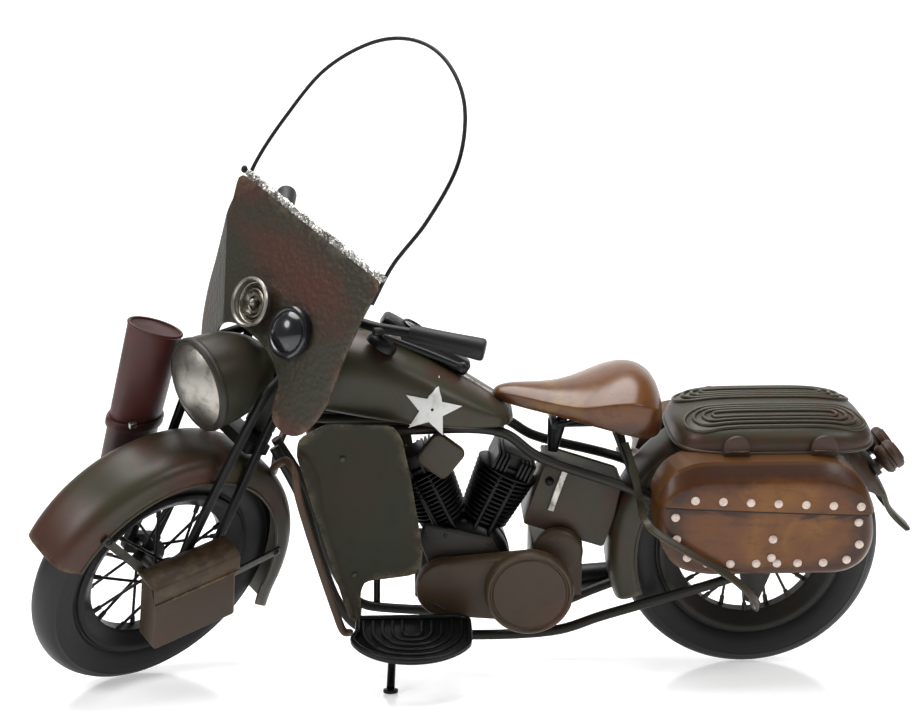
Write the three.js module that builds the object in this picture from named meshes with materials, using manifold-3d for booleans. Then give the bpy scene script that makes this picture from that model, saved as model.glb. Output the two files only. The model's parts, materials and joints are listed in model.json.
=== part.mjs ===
// Sheet-metal display motorcycle, about 1:6, standing on its left side stand with the fork turned left.
// Millimetres, +Z up. The front of the motorcycle points to -X and its left side faces -Y.
//
// Every piece is drawn on an upright motorcycle. In that bike frame the origin is the rear axle,
// X runs back, Y to the right and Z up. One group then leans the whole motorcycle onto its stand,
// and a group inside it turns everything that steers.

import * as THREE from 'three';
import { mergeVertices } from 'three/addons/utils/BufferGeometryUtils.js';
import Module from 'manifold-3d';

const wasm = await Module();
wasm.setup();

// ---------------------------------------------------------------- driving dimensions

const TYRE_RADIUS = 55;
const TYRE_TUBE_RADIUS = 8.2;
const TYRE_BEAD_RADIUS = 37.6;
const WHEELBASE = 253;
const FORK_OFFSET = 19; // front axle ahead of the steering axis
const LEAN = THREE.MathUtils.degToRad(14.4); // onto the side stand
const RAKE = THREE.MathUtils.degToRad(26.5); // steering axis back from upright
const STEER = THREE.MathUtils.degToRad(42.5); // fork turned to the left
const GAP = 0.3; // between pieces that touch
const SHEET = 1.0; // thickness of the formed sheet
const AXLE_RADIUS = 2.1;
const TUBE_RADIUS = 2.1; // frame tubes
const FENDER_RADIUS = 61;
const FENDER_HALF_WIDTH = 14.5;
const FENDER_SKIRT_RADIUS = 49.5;
const TANK_HALF_WIDTH = 22;
const BAG_INNER_Y = 20;
const BAG_OUTER_Y = 42;
const FOOTBOARD_Z = -22;
const STAND_PIVOT = [-151, -14.6, -35.4];
const STAND_FOOT_X = -152;
const STAND_FOOT_Y = -45;
const WHEEL_SEGMENTS = 36;
const SPOKE_COUNT = 16;

const LEFT = -1;
const RIGHT = 1;
const TYRE_MID_RADIUS = TYRE_RADIUS - TYRE_TUBE_RADIUS;

// Height of the floor under the bike frame's origin line, at distance y to the right, on the leaned bike.
const floorHeight = (y) => -(TYRE_MID_RADIUS + TYRE_TUBE_RADIUS / Math.cos(LEAN)) - y * Math.tan(LEAN);

// The turned front wheel leans more than the rear one. Its axle is raised by this much on the upright
// bike, so that both tyres and the stand touch the floor together.
const frontWheelAxleZ = -Math.sin(STEER) * Math.sin(RAKE) * Math.cos(LEAN) - Math.cos(STEER) * Math.sin(LEAN);
const FRONT_AXLE_RISE = FORK_OFFSET * Math.sin(RAKE) * (1 - Math.cos(STEER))
  + (TYRE_MID_RADIUS * (Math.sqrt(1 - frontWheelAxleZ ** 2) - Math.cos(LEAN))
    + FORK_OFFSET * Math.sin(STEER) * Math.sin(LEAN)) / Math.cos(LEAN);

// Foot of the steering axis: the point of it nearest to the front axle, and the origin of the fork.
const STEER_FOOT_X = -WHEELBASE + FORK_OFFSET * Math.cos(RAKE);
const STEER_FOOT_Z = FRONT_AXLE_RISE - FORK_OFFSET * Math.sin(RAKE);

// ---------------------------------------------------------------- materials

const paint = (color, roughness, metalness) => new THREE.MeshStandardMaterial({ color, roughness, metalness });
const OLIVE = paint(0x45432f, 0.55, 0.25);
const OLIVE_DARK = paint(0x33332a, 0.6, 0.25);
const BLACK_PAINT = paint(0x1d1e20, 0.5, 0.2);
const TYRE_BLACK = paint(0x26272a, 0.8, 0);
const BARE_STEEL = paint(0xa9a9a6, 0.35, 0.9);
const PALE_PAINT = paint(0xc9c9c6, 0.6, 0);
const SADDLE_BROWN = paint(0x7d5238, 0.3, 0);
const BAG_BROWN = paint(0x74472a, 0.45, 0);
const SCABBARD_RED = paint(0x54241f, 0.5, 0);
const LENS_SILVER = paint(0xa8a49e, 0.35, 0.6);
const LAMP_BROWN = paint(0x5a3326, 0.45, 0.1);

// ---------------------------------------------------------------- shape helpers

function solidOf(geometry) {
  const bare = geometry.clone();
  bare.deleteAttribute('normal');
  bare.deleteAttribute('uv');
  const welded = mergeVertices(bare, 1e-4);
  const mesh = new wasm.Mesh({
    numProp: 3,
    vertProperties: new Float32Array(welded.attributes.position.array),
    triVerts: new Uint32Array(welded.index.array),
  });
  return new wasm.Manifold(mesh);
}

function geometryOf(solid) {
  const mesh = solid.getMesh();
  const geometry = new THREE.BufferGeometry();
  geometry.setAttribute('position', new THREE.BufferAttribute(new Float32Array(mesh.vertProperties), 3));
  geometry.setIndex(new THREE.BufferAttribute(new Uint32Array(mesh.triVerts), 1));
  geometry.computeVertexNormals();
  return geometry;
}

const join = (...geometries) => geometryOf(geometries.map(solidOf).reduce((sum, next) => sum.add(next)));
const cut = (geometry, ...tools) => geometryOf(
  tools.map(solidOf).reduce((rest, tool) => rest.subtract(tool), solidOf(geometry)),
);
const common = (first, second) => geometryOf(solidOf(first).intersect(solidOf(second)));

// A body of revolution about Y. The profile is a list of [radius, y].
function turned(profile, segments = WHEEL_SEGMENTS) {
  const closed = profile.map(([radius, y]) => new THREE.Vector2(radius, y));
  if (profile[0][0] > 0) {
    closed.push(closed[0].clone());
  }
  return new THREE.LatheGeometry(closed, segments);
}

// The same, standing on Z instead of Y. The profile is a list of [radius, z].
const turnedUpright = (profile, segments) => turned(profile, segments).rotateX(Math.PI / 2);

function outline(points) {
  return new THREE.Shape(points.map(([a, b]) => new THREE.Vector2(a, b)));
}

const BEVEL_OFF = { bevelEnabled: false };
const bevel = (size, segments = 2) => ({
  bevelEnabled: true,
  bevelSize: size,
  bevelThickness: size,
  bevelOffset: -size,
  bevelSegments: segments,
});

// A plate whose outline is given in X and Z, filling y from yMin to yMax.
function sidePlate(points, yMin, yMax, edge = BEVEL_OFF) {
  const inset = edge.bevelEnabled ? edge.bevelThickness : 0;
  const plate = new THREE.ExtrudeGeometry(outline(points), { depth: yMax - yMin - 2 * inset, ...edge });
  return plate.rotateX(Math.PI / 2).translate(0, yMax - inset, 0);
}

// A plate whose outline is given in X and Y, filling z from zMin to zMax.
function levelPlate(points, zMin, zMax, edge = BEVEL_OFF) {
  const inset = edge.bevelEnabled ? edge.bevelThickness : 0;
  const plate = new THREE.ExtrudeGeometry(outline(points), { depth: zMax - zMin - 2 * inset, ...edge });
  return plate.translate(0, 0, zMin + inset);
}

// A plate whose outline is given in Y and Z, filling x from xMin to xMax.
function facingPlate(points, xMin, xMax) {
  const plate = new THREE.ExtrudeGeometry(outline(points), { depth: xMax - xMin, ...BEVEL_OFF });
  const toFront = new THREE.Matrix4().makeBasis(
    new THREE.Vector3(0, 1, 0),
    new THREE.Vector3(0, 0, 1),
    new THREE.Vector3(1, 0, 0),
  );
  return plate.applyMatrix4(toFront).translate(xMin, 0, 0);
}

function arc(centreA, centreB, radius, fromDeg, toDeg, steps) {
  return Array.from({ length: steps + 1 }, (_, i) => {
    const angle = THREE.MathUtils.degToRad(fromDeg + (toDeg - fromDeg) * i / steps);
    return [centreA + radius * Math.cos(angle), centreB + radius * Math.sin(angle)];
  });
}

const circle = (radius, sides) => outline(arc(0, 0, radius, 0, 360 * (1 - 1 / sides), sides - 1));

// A bent round rod through the given points.
function bentRod(points, radius, steps, sides = 8) {
  const path = new THREE.CatmullRomCurve3(points.map((p) => new THREE.Vector3(...p)), false, 'centripetal');
  return new THREE.ExtrudeGeometry(circle(radius, sides), { steps, extrudePath: path });
}

function aimed(geometry, from, to) {
  const start = new THREE.Vector3(...from);
  const along = new THREE.Vector3(...to).sub(start);
  const turn = new THREE.Quaternion().setFromUnitVectors(new THREE.Vector3(0, 1, 0), along.clone().normalize());
  const middle = start.addScaledVector(along, 0.5);
  return geometry.applyQuaternion(turn).translate(middle.x, middle.y, middle.z);
}

const distance = (from, to) => new THREE.Vector3(...from).distanceTo(new THREE.Vector3(...to));

// A straight round rod, and a straight flat bar whose width lies in the side plane.
const rod = (from, to, radius, sides = 10) => aimed(
  new THREE.CylinderGeometry(radius, radius, distance(from, to), sides),
  from,
  to,
);

function flatBar(from, to, width, thickness) {
  const start = new THREE.Vector3(...from);
  const along = new THREE.Vector3(...to).sub(start);
  const length = along.length() + thickness;
  const yAxis = along.clone().normalize();
  const zAxis = new THREE.Vector3(0, 1, 0).addScaledVector(yAxis, -yAxis.y).normalize();
  const xAxis = new THREE.Vector3().crossVectors(yAxis, zAxis);
  const frame = new THREE.Matrix4().makeBasis(xAxis, yAxis, zAxis);
  frame.setPosition(start.addScaledVector(along, 0.5));
  return new THREE.BoxGeometry(width, length, thickness).applyMatrix4(frame);
}

const block = (xMin, xMax, yMin, yMax, zMin, zMax) => new THREE.BoxGeometry(xMax - xMin, yMax - yMin, zMax - zMin)
  .translate((xMin + xMax) / 2, (yMin + yMax) / 2, (zMin + zMax) / 2);

// Mirrors a piece of the left side to the right, and turns its faces outward again.
function mirrored(geometry) {
  const copy = (geometry.index ? geometry.toNonIndexed() : geometry.clone()).scale(1, -1, 1);
  const position = copy.attributes.position;
  for (let i = 0; i < position.count; i += 3) {
    const second = new THREE.Vector3().fromBufferAttribute(position, i + 1);
    const third = new THREE.Vector3().fromBufferAttribute(position, i + 2);
    position.setXYZ(i + 1, third.x, third.y, third.z);
    position.setXYZ(i + 2, second.x, second.y, second.z);
  }
  copy.computeVertexNormals();
  return copy;
}

const onSide = (side, leftPiece) => (side === LEFT ? leftPiece : mirrored(leftPiece));
const sideName = (side) => (side === LEFT ? 'left' : 'right');

function add(group, name, geometry, material) {
  const mesh = new THREE.Mesh(geometry, material);
  mesh.name = name;
  group.add(mesh);
}

// ---------------------------------------------------------------- groups

const motorcycle = new THREE.Group();
const lean = new THREE.Group();
lean.rotation.x = LEAN;
motorcycle.add(lean);

const bike = new THREE.Group();
lean.add(bike);

// On the steering axis: Z runs up the axis, X backwards across it.
const head = new THREE.Group();
head.position.set(STEER_FOOT_X, 0, STEER_FOOT_Z);
head.rotation.y = RAKE;
lean.add(head);

const fork = new THREE.Group();
fork.rotation.z = STEER;
head.add(fork);

// Steers with the fork, but its axes are level when the fork points straight ahead. Its origin is the
// front axle.
const frontLevel = new THREE.Group();
frontLevel.position.set(-FORK_OFFSET, 0, 0);
frontLevel.rotation.y = -RAKE;
fork.add(frontLevel);

// ---------------------------------------------------------------- wheels

function tyre() {
  const beadHalfWidth = 5.4;
  const section = arc(TYRE_MID_RADIUS, 0, TYRE_TUBE_RADIUS, -105, 105, 8);
  return turned([[TYRE_BEAD_RADIUS, -beadHalfWidth], ...section, [TYRE_BEAD_RADIUS, beadHalfWidth]]);
}

function rim() {
  const outer = TYRE_BEAD_RADIUS - GAP;
  return turned([
    [outer, -5.6],
    [outer, 5.6],
    [34.2, 5.6],
    [31.2, 3],
    [31.2, -3],
    [34.2, -5.6],
  ]);
}

function hub() {
  const bore = AXLE_RADIUS + GAP;
  const flange = 8;
  return turned([
    [bore, -9],
    [4.2, -9],
    [4.2, -7],
    [flange, -6.6],
    [flange, -5.4],
    [4.2, -5],
    [4.2, 5],
    [flange, 5.4],
    [flange, 6.6],
    [4.2, 7],
    [4.2, 9],
    [bore, 9],
  ], 12);
}

// Wire spokes run from the two hub flanges to the rim and cross each other.
function spokes() {
  const crossing = THREE.MathUtils.degToRad(38);
  return Array.from({ length: SPOKE_COUNT }, (_, i) => {
    const side = i % 2 === 0 ? 1 : -1;
    const sweep = i % 4 < 2 ? crossing : -crossing;
    const rimAngle = (2 * Math.PI * i) / SPOKE_COUNT;
    const hubAngle = rimAngle + sweep;
    const inner = [6.4 * Math.cos(hubAngle), side * 6, 6.4 * Math.sin(hubAngle)];
    const outer = [32.2 * Math.cos(rimAngle), side * 1.5, 32.2 * Math.sin(rimAngle)];
    return rod(inner, outer, 0.7, 4);
  });
}

function addWheel(group, prefix, rimMaterial) {
  add(group, `${prefix}_tyre`, tyre(), TYRE_BLACK);
  add(group, `${prefix}_spoke_wheel`, join(rim(), hub(), ...spokes()), rimMaterial);
}

addWheel(bike, 'rear', OLIVE_DARK);
addWheel(frontLevel, 'front', BLACK_PAINT);

// ---------------------------------------------------------------- fenders

// A channel bent round the wheel, kept between two angles measured from straight back (+X) upward.
function fender(fromDeg, toDeg) {
  const side = FENDER_HALF_WIDTH;
  const channel = [
    [FENDER_SKIRT_RADIUS, -side],
    [FENDER_RADIUS - 5, -side],
    [FENDER_RADIUS - 1.5, -side + 4],
    [FENDER_RADIUS, 0],
    [FENDER_RADIUS - 1.5, side - 4],
    [FENDER_RADIUS - 5, side],
    [FENDER_SKIRT_RADIUS, side],
    [FENDER_SKIRT_RADIUS, side - SHEET],
    [FENDER_RADIUS - 5.4, side - SHEET],
    [FENDER_RADIUS - SHEET - 1.6, side - 4.5],
    [FENDER_RADIUS - SHEET, 0],
    [FENDER_RADIUS - SHEET - 1.6, -side + 4.5],
    [FENDER_RADIUS - 5.4, -side + SHEET],
    [FENDER_SKIRT_RADIUS, -side + SHEET],
  ];
  const sector = [[0, 0], ...arc(0, 0, 2 * FENDER_RADIUS, fromDeg, toDeg, 24)];
  return common(turned(channel, WHEEL_SEGMENTS), sidePlate(sector, -30, 30));
}

add(frontLevel, 'front_fender', fender(-38, 147), OLIVE);

function rearFender() {
  const tailFlap = sidePlate([[59.5, 7.5], [60.6, 7.5], [69.3, 2.2], [68.6, 1.4]], -12, 12);
  return join(fender(7, 200), tailFlap);
}

add(bike, 'rear_fender', rearFender(), OLIVE);

// ---------------------------------------------------------------- frame

const HEAD_BOTTOM = 69.5; // heights up the steering axis
const HEAD_TOP = 99;

add(head, 'head_tube', turnedUpright([
  [3.5 + GAP, HEAD_BOTTOM],
  [6.5, HEAD_BOTTOM],
  [6.5, HEAD_TOP],
  [3.5 + GAP, HEAD_TOP],
], 20), OLIVE);

const DROPOUT_Y = 17.5;

// The upper tube ends in a dropout plate that holds the axle.
function frameTube() {
  const path = [
    [-192, -5.2, 56],
    [-150, -7.5, 55],
    [-106, -9, 54],
    [-91, -12.5, 44.5],
    [-51, -17.5, 31],
    [-20, -DROPOUT_Y, 14],
    [-5, -DROPOUT_Y, 5],
  ];
  const dropout = sidePlate([[-9, 7], [-5, 8], [6, 4], [6, -6], [1, -19], [-4, -19], [-7, -5]],
    -DROPOUT_Y - 1.2, -DROPOUT_Y + 1.2);
  const axleHole = rod([0, -40, 0], [0, 0, 0], AXLE_RADIUS + GAP, 20);
  return cut(join(bentRod(path, TUBE_RADIUS, 18, 7), dropout), axleHole);
}

function lowerTube() {
  const path = [
    [-199, -5, 47],
    [-188, -8, 25],
    [-181, -10, 0],
    [-174, -11, -20],
    [-166, -11, -31],
    [-150, -11, -34.5],
    [-84, -12, -34.5],
    [-62, -13, -27],
    [-17, -DROPOUT_Y, -11],
    [-10, -DROPOUT_Y, -8.5],
  ];
  return bentRod(path, TUBE_RADIUS, 20, 7);
}

for (const side of [LEFT, RIGHT]) {
  add(bike, `frame_tube_${sideName(side)}`, onSide(side, frameTube()), OLIVE);
  add(bike, `lower_tube_${sideName(side)}`, onSide(side, lowerTube()), OLIVE);
}

add(bike, 'rear_axle', rod([0, -21.5, 0], [0, 21.5, 0], AXLE_RADIUS, 20), BARE_STEEL);

// ---------------------------------------------------------------- fuel tank

const TANK_SIDE = [
  [-175, 96.5],
  [-160, 95],
  [-147, 90.5],
  [-125, 77.5],
  [-101, 61.5],
  [-109, 57.5],
  [-132, 59],
  [-150, 62],
  [-187, 70],
];
const TANK_PLAN = [
  [-190, -15],
  [-180, -TANK_HALF_WIDTH],
  [-140, -TANK_HALF_WIDTH],
  [-98, -13],
  [-98, -GAP],
  [-190, -GAP],
];

function tankHalf() {
  const body = sidePlate(TANK_SIDE, -TANK_HALF_WIDTH, TANK_HALF_WIDTH, bevel(2.5, 2));
  return common(body, levelPlate(TANK_PLAN, 40, 120));
}

for (const side of [LEFT, RIGHT]) {
  add(bike, `fuel_tank_${sideName(side)}`, onSide(side, tankHalf()), OLIVE);
}

const TANK_SLOPE = Math.atan2(90.5 - 67.5, 147 - 110); // fall of the tank's back

function onTankTop(geometry, x, y, z) {
  return geometry.rotateY(TANK_SLOPE).translate(x, y, z);
}

add(bike, 'filler_cap', onTankTop(turnedUpright([
  [0, 0],
  [4.6, 0],
  [4.6, 2.4],
  [5.6, 2.8],
  [5.6, 4.4],
  [4.2, 5.2],
  [0, 5.2],
], 16), -152, -12.5, 93.8), BARE_STEEL);

function dashPanel() {
  return levelPlate([[-21, -5], [-16, -6.5], [17, -4.5], [20, -3], [20, 3], [17, 4.5], [-16, 6.5], [-21, 5]],
    0, 6.5, bevel(1.2, 1));
}

add(bike, 'dash_panel', onTankTop(dashPanel(), -138, 0, 86.2), BLACK_PAINT);

// A five-pointed star cut from thin sheet, one point up.
function star(radius) {
  const inner = radius * 0.4;
  const points = Array.from({ length: 10 }, (_, i) => {
    const angle = Math.PI / 2 + (Math.PI * i) / 5;
    const reach = i % 2 === 0 ? radius : inner;
    return [reach * Math.cos(angle), reach * Math.sin(angle)];
  });
  return sidePlate(points, -0.5, 0);
}

for (const side of [LEFT, RIGHT]) {
  const plate = star(12.5).rotateY(-0.1).translate(-134.5, -TANK_HALF_WIDTH - GAP, 68.5);
  add(bike, `tank_star_${sideName(side)}`, onSide(side, plate), PALE_PAINT);
}

// ---------------------------------------------------------------- engine and gearbox

const CRANK_X = -121;
const CRANK_Z = -4;
const CRANKCASE_RADIUS = 19;

add(bike, 'crankcase', turned([
  [0, -12.5],
  [15, -12.5],
  [CRANKCASE_RADIUS, -9],
  [CRANKCASE_RADIUS, 9],
  [15, 12.5],
  [0, 12.5],
], 24).translate(CRANK_X, 0, CRANK_Z), BLACK_PAINT);

// A cylinder barrel with round cooling fins under a head with upright fins, standing on Z.
function cylinder() {
  const finCount = 4;
  const barrelBase = CRANKCASE_RADIUS + 0.6;
  const barrelTop = 44;
  const pitch = (barrelTop - barrelBase) / finCount;
  const fins = Array.from({ length: finCount }, (_, i) => {
    const z = barrelBase + i * pitch;
    const reach = 9.6 + (2.4 * i) / finCount;
    return [[reach - 2.2, z], [reach - 2.2, z + pitch * 0.45], [reach, z + pitch * 0.5], [reach, z + pitch * 0.95]];
  }).flat();
  const barrel = turnedUpright([[0, barrelBase], ...fins, [9, barrelTop], [0, barrelTop]], 12);
  const headBlock = block(-8, 8, -9, 9, barrelTop - 0.1, barrelTop + 7);
  const headFins = [-6.6, 0, 6.6].map((x) => block(x - 0.7, x + 0.7, -11.5, 11.5, barrelTop - 0.1, barrelTop + 8));
  return join(barrel, headBlock, ...headFins);
}

const onCrank = (geometry, tilt) => geometry.rotateY(tilt).translate(CRANK_X, 0, CRANK_Z);
const CYLINDER_TILT = THREE.MathUtils.degToRad(25);
add(bike, 'rear_cylinder', onCrank(cylinder(), CYLINDER_TILT), BLACK_PAINT);
add(bike, 'front_cylinder', onCrank(cylinder(), -CYLINDER_TILT), BLACK_PAINT);

function airCleaner() {
  const corner = 7.6;
  const cover = [-1, 1].flatMap((a) => [[a * corner, -a * (corner - 2)], [a * corner, a * (corner - 2)],
    [a * (corner - 2), a * corner], [-a * (corner - 2), a * corner]]);
  const stub = rod([0, -14, 0], [0, -8.5, 0], 3, 12);
  return join(sidePlate(cover, -17, -13.9, bevel(0.8, 1)), stub);
}

add(bike, 'air_cleaner_cover', airCleaner().rotateY(THREE.MathUtils.degToRad(38)).translate(-131, 0, 46.5), OLIVE);

add(bike, 'timing_cover', sidePlate([
  [-140, 10],
  [-138, 16.5],
  [-128, 14],
  [-110, 10],
  [-106, 2],
  [-110, -8],
  [-134, -8],
], -15.8, -12.8, bevel(0.8, 1)), OLIVE_DARK);

const CLUTCH_X = -95;
const CLUTCH_Z = -9.5;
const PRIMARY_Y = -17.2; // inner face of the primary cover

function primaryCover() {
  const frontEnd = arc(-129, -9.5, 12.5, 80, 280, 10);
  const rearEnd = arc(CLUTCH_X, CLUTCH_Z, 15.5, -80, 80, 8);
  return sidePlate([...frontEnd, ...rearEnd], PRIMARY_Y - 7, PRIMARY_Y, bevel(1.2, 1));
}

add(bike, 'primary_cover', primaryCover(), OLIVE);

add(bike, 'clutch_cover', turned([
  [0, -4.6],
  [10, -4.2],
  [16.4, -2.6],
  [18.3, -1.4],
  [18.3, 0],
  [0, 0],
], 24).translate(CLUTCH_X, PRIMARY_Y - 7 - GAP, CLUTCH_Z), OLIVE);

function gearbox() {
  const body = block(-93, -72, -12.4, 12.4, -18, 6);
  const cover = turned([[0, -3.5], [9, -3], [10.4, -1.6], [10.4, 0.2], [0, 0.2]], 24).translate(-82.4, -12.4, 2.5);
  return join(body, cover);
}

add(bike, 'gearbox', gearbox(), OLIVE_DARK);

function exhaustPipe() {
  const path = [[-134, 14.6, 32], [-140, 18, 14], [-142, 20.5, -10], [-132, 21.5, -25], [-112, 22, -28], [-96, 22, -28]];
  const pipe = bentRod(path, 2.6, 14, 8);
  const silencer = rod([-97, 22, -28], [-30, 23.5, -24], 5.2, 14);
  return join(pipe, silencer);
}

add(bike, 'exhaust_pipe', exhaustPipe(), BLACK_PAINT);

// ---------------------------------------------------------------- battery box and saddle

const BOX_SLOPE = THREE.MathUtils.degToRad(18.5);

function batteryBox() {
  const box = block(-15, 17, -9.5, 9.5, -13, 12);
  const lid = block(-16, 18, -10.3, 10.3, 12, 14);
  return join(box, lid).rotateY(BOX_SLOPE).translate(-77.5, 0, 23.5);
}

add(bike, 'battery_box', batteryBox(), OLIVE);

const SADDLE_SIDE = [
  [-108.5, 67.2],
  [-106, 71.5],
  [-90, 71.5],
  [-76, 73],
  [-62, 78.5],
  [-53, 80],
  [-44, 75],
  [-39.5, 64],
  [-42, 54.5],
  [-50, 52.5],
  [-72, 58],
  [-90, 60],
];
const SADDLE_PLAN = [
  ...[[-108.5, -3], [-104, -5.5], [-90, -10], [-76, -19], [-62, -26], [-50, -27], [-42, -20], [-38, -8]],
  ...[[-38, 8], [-42, 20], [-50, 27], [-62, 26], [-76, 19], [-90, 10], [-104, 5.5], [-108.5, 3]],
];

add(bike, 'saddle', common(sidePlate(SADDLE_SIDE, -28, 28, bevel(1.5, 2)), levelPlate(SADDLE_PLAN, 40, 95)),
  SADDLE_BROWN);

add(bike, 'saddle_post', join(
  rod([-84, 0, 42.5], [-80, 0, 57.2], 2.2, 12),
  rod([-84, -9, 56.4], [-84, 9, 56.4], 1.6, 8),
  rod([-84, 0, 42.5], [-84, 0, 56.4], 2.2, 12),
), BLACK_PAINT);

// ---------------------------------------------------------------- luggage

const PAD_BOTTOM = 50.5;
const PAD_TOP = 63;

// The ribbed pad straddles the rear fender, so its underside has a channel cut to the fender.
function luggagePad() {
  const end = 20;
  const outlinePoints = [
    ...arc(-36 + end, -29 + end, end, 180, 270, 6),
    ...arc(46 - end, -29 + end, end, 270, 360, 6),
    ...arc(46 - end, 29 - end, end, 0, 90, 6),
    ...arc(-36 + end, 29 - end, end, 90, 180, 6),
  ];
  const body = levelPlate(outlinePoints, PAD_BOTTOM, PAD_TOP, bevel(5, 3));
  const channel = sidePlate(arc(0, 0, FENDER_RADIUS + GAP + 0.2, 0, 354, 59), -FENDER_HALF_WIDTH - GAP - 0.1,
    FENDER_HALF_WIDTH + GAP + 0.1);
  return cut(body, channel);
}

add(bike, 'luggage_pad', luggagePad(), OLIVE);

const BAG_OUTLINE = [
  [-31, 49.5],
  [24.5, 49.5],
  [35, 43],
  [41, 29],
  [42.5, 17],
  [39, 8],
  [31, 3],
  [19, 2.8],
  [-26, 2.8],
  [-38, 6],
  [-44.5, 17.6],
  [-46, 26.5],
  [-44.5, 36.4],
  [-40, 45],
];

for (const side of [LEFT, RIGHT]) {
  const bag = sidePlate(BAG_OUTLINE, -BAG_OUTER_Y, -BAG_INNER_Y, bevel(3.5, 2));
  add(bike, `saddlebag_${sideName(side)}`, onSide(side, bag), BAG_BROWN);
}

// The flat stay hangs from the saddle, passes outside the bag and comes back under it to the dropout.
function bagStay() {
  const path = [
    [-56, -14.8, 51],
    [-52, -20, 38],
    [-50.5, -24, 30],
    [-50, -41, 27],
    [-45.5, -44.4, 23.5],
    [-14, -44.4, 3],
    [-4, -40, -9],
    [-2, -30, -16],
    [-2, -DROPOUT_Y - 2.4, -16.5],
  ];
  return join(...path.slice(1).map((point, i) => flatBar(path[i], point, 3, 1.4)));
}

for (const side of [LEFT, RIGHT]) {
  add(bike, `bag_stay_${sideName(side)}`, onSide(side, bagStay()), OLIVE);
}

// Two round tail lamps side by side on the slope of the rear fender.
const LAMP_ANGLE = 36.5;

for (const side of [LEFT, RIGHT]) {
  const lamp = turnedUpright([[0, 0], [2.2, 0], [2.2, 3], [4.6, 4], [4.9, 8], [4, 10], [0, 10.6]], 14)
    .translate(0, -7.2, FENDER_RADIUS + GAP + 0.3)
    .rotateY(THREE.MathUtils.degToRad(90 - LAMP_ANGLE));
  add(bike, `tail_lamp_${sideName(side)}`, onSide(side, lamp), LAMP_BROWN);
}

// ---------------------------------------------------------------- leg shields, crash bar, footboards

function legShield() {
  const panel = sidePlate([
    [-186.5, 60],
    [-176, 66.5],
    [-150, 65.5],
    [-146.5, 60],
    [-143, 42],
    [-138.5, 12],
    [-139.5, 3],
    [-143, 1],
    [-162, -1],
    [-164, -19],
    [-166.5, -19],
    [-180, 32],
  ], -31, -30);
  const lip = sidePlate([[-187, 60], [-185.8, 60], [-179, 44], [-179, 32], [-165.5, -19], [-168.5, -19],
    [-183, 32], [-188.5, 52]], -36, -30.4);
  return join(panel, lip);
}

for (const side of [LEFT, RIGHT]) {
  add(bike, `leg_shield_${sideName(side)}`, onSide(side, legShield()), OLIVE);
}

// One bent bar: down the front of both leg shields and across in front of the lower tubes.
function crashBar() {
  const sideRun = [
    [-168.4, -33, -23],
    [-170.8, -38.2, -19.5],
    [-174, -38.4, -10],
    [-187.5, -38.2, 40],
    [-188.5, -37, 48],
    [-192, -28, 50],
    [-198.6, -12, 41],
  ];
  const path = [...sideRun, [-199.6, 0, 35], ...sideRun.toReversed().map(([x, y, z]) => [x, -y, z])];
  return bentRod(path, 1.6, 30, 6);
}

add(bike, 'crash_bar', crashBar(), OLIVE_DARK);

// A D-shaped board with a raised rim and ribs across it, on an arm from the lower tube.
function footboard() {
  const middle = [-143, -37];
  const boardOutline = [[-166, -24.5], [-166, -37], ...arc(...middle, 26, 195, 335, 12), [-119, -37], [-119, -27],
    [-123, -24.5]];
  const board = levelPlate(boardOutline, FOOTBOARD_Z, FOOTBOARD_Z + 2.6);
  const tray = levelPlate(boardOutline.map(([x, y]) => [middle[0] + (x - middle[0]) * 0.9,
    -36 + (y + 36) * 0.86]), FOOTBOARD_Z + 1.2, FOOTBOARD_Z + 4);
  const arm = rod([-140, -13.9, FOOTBOARD_Z - 5.5], [-140, -27, FOOTBOARD_Z + 0.6], 1.8, 8);
  return join(cut(board, tray), arm);
}

for (const side of [LEFT, RIGHT]) {
  add(bike, `footboard_${sideName(side)}`, onSide(side, footboard()), BLACK_PAINT);
}

// ---------------------------------------------------------------- side stand

// A point over the middle of the stand's foot, at the given height over the floor.
const overFoot = (height) => [
  STAND_FOOT_X,
  STAND_FOOT_Y + height * Math.sin(LEAN),
  floorHeight(STAND_FOOT_Y) + height * Math.cos(LEAN),
];

// The leg swings on a stub of the left lower tube, and its round pad lies flat on the floor.
function sideStand() {
  const padHeight = 1.4;
  const leg = rod(STAND_PIVOT, overFoot(2), 1.7, 10);
  const pad = new THREE.CylinderGeometry(3, 3, padHeight, 20)
    .rotateX(Math.PI / 2 - LEAN)
    .translate(...overFoot(padHeight / 2));
  return join(leg, pad);
}

add(bike, 'side_stand', sideStand(), BLACK_PAINT);

// ---------------------------------------------------------------- fork

const CLAMP_LOW = 63.5;
const CLAMP_HIGH = 105;
const LEG_Y = 16.5;

// The stem, its two clamps and the bracket that carries the fender are brazed into one piece.
function steeringStem() {
  const stem = rod([0, 0, CLAMP_LOW], [0, 0, CLAMP_HIGH + 3], 3.5, 20);
  const lowClamp = join(
    turnedUpright([[0, CLAMP_LOW], [6.5, CLAMP_LOW], [6.5, CLAMP_LOW + 4.5], [0, CLAMP_LOW + 4.5]], 20),
    block(-15.5, -4, -14.2, 14.2, CLAMP_LOW, CLAMP_LOW + 4.5),
  );
  const highClamp = join(
    turnedUpright([[0, CLAMP_HIGH], [6.5, CLAMP_HIGH], [6.5, CLAMP_HIGH + 3], [0, CLAMP_HIGH + 3]], 20),
    block(-15, -4, -14.2, 14.2, CLAMP_HIGH, CLAMP_HIGH + 3),
  );
  return join(stem, lowClamp, highClamp);
}

add(fork, 'steering_stem', steeringStem(), BLACK_PAINT);

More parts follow.
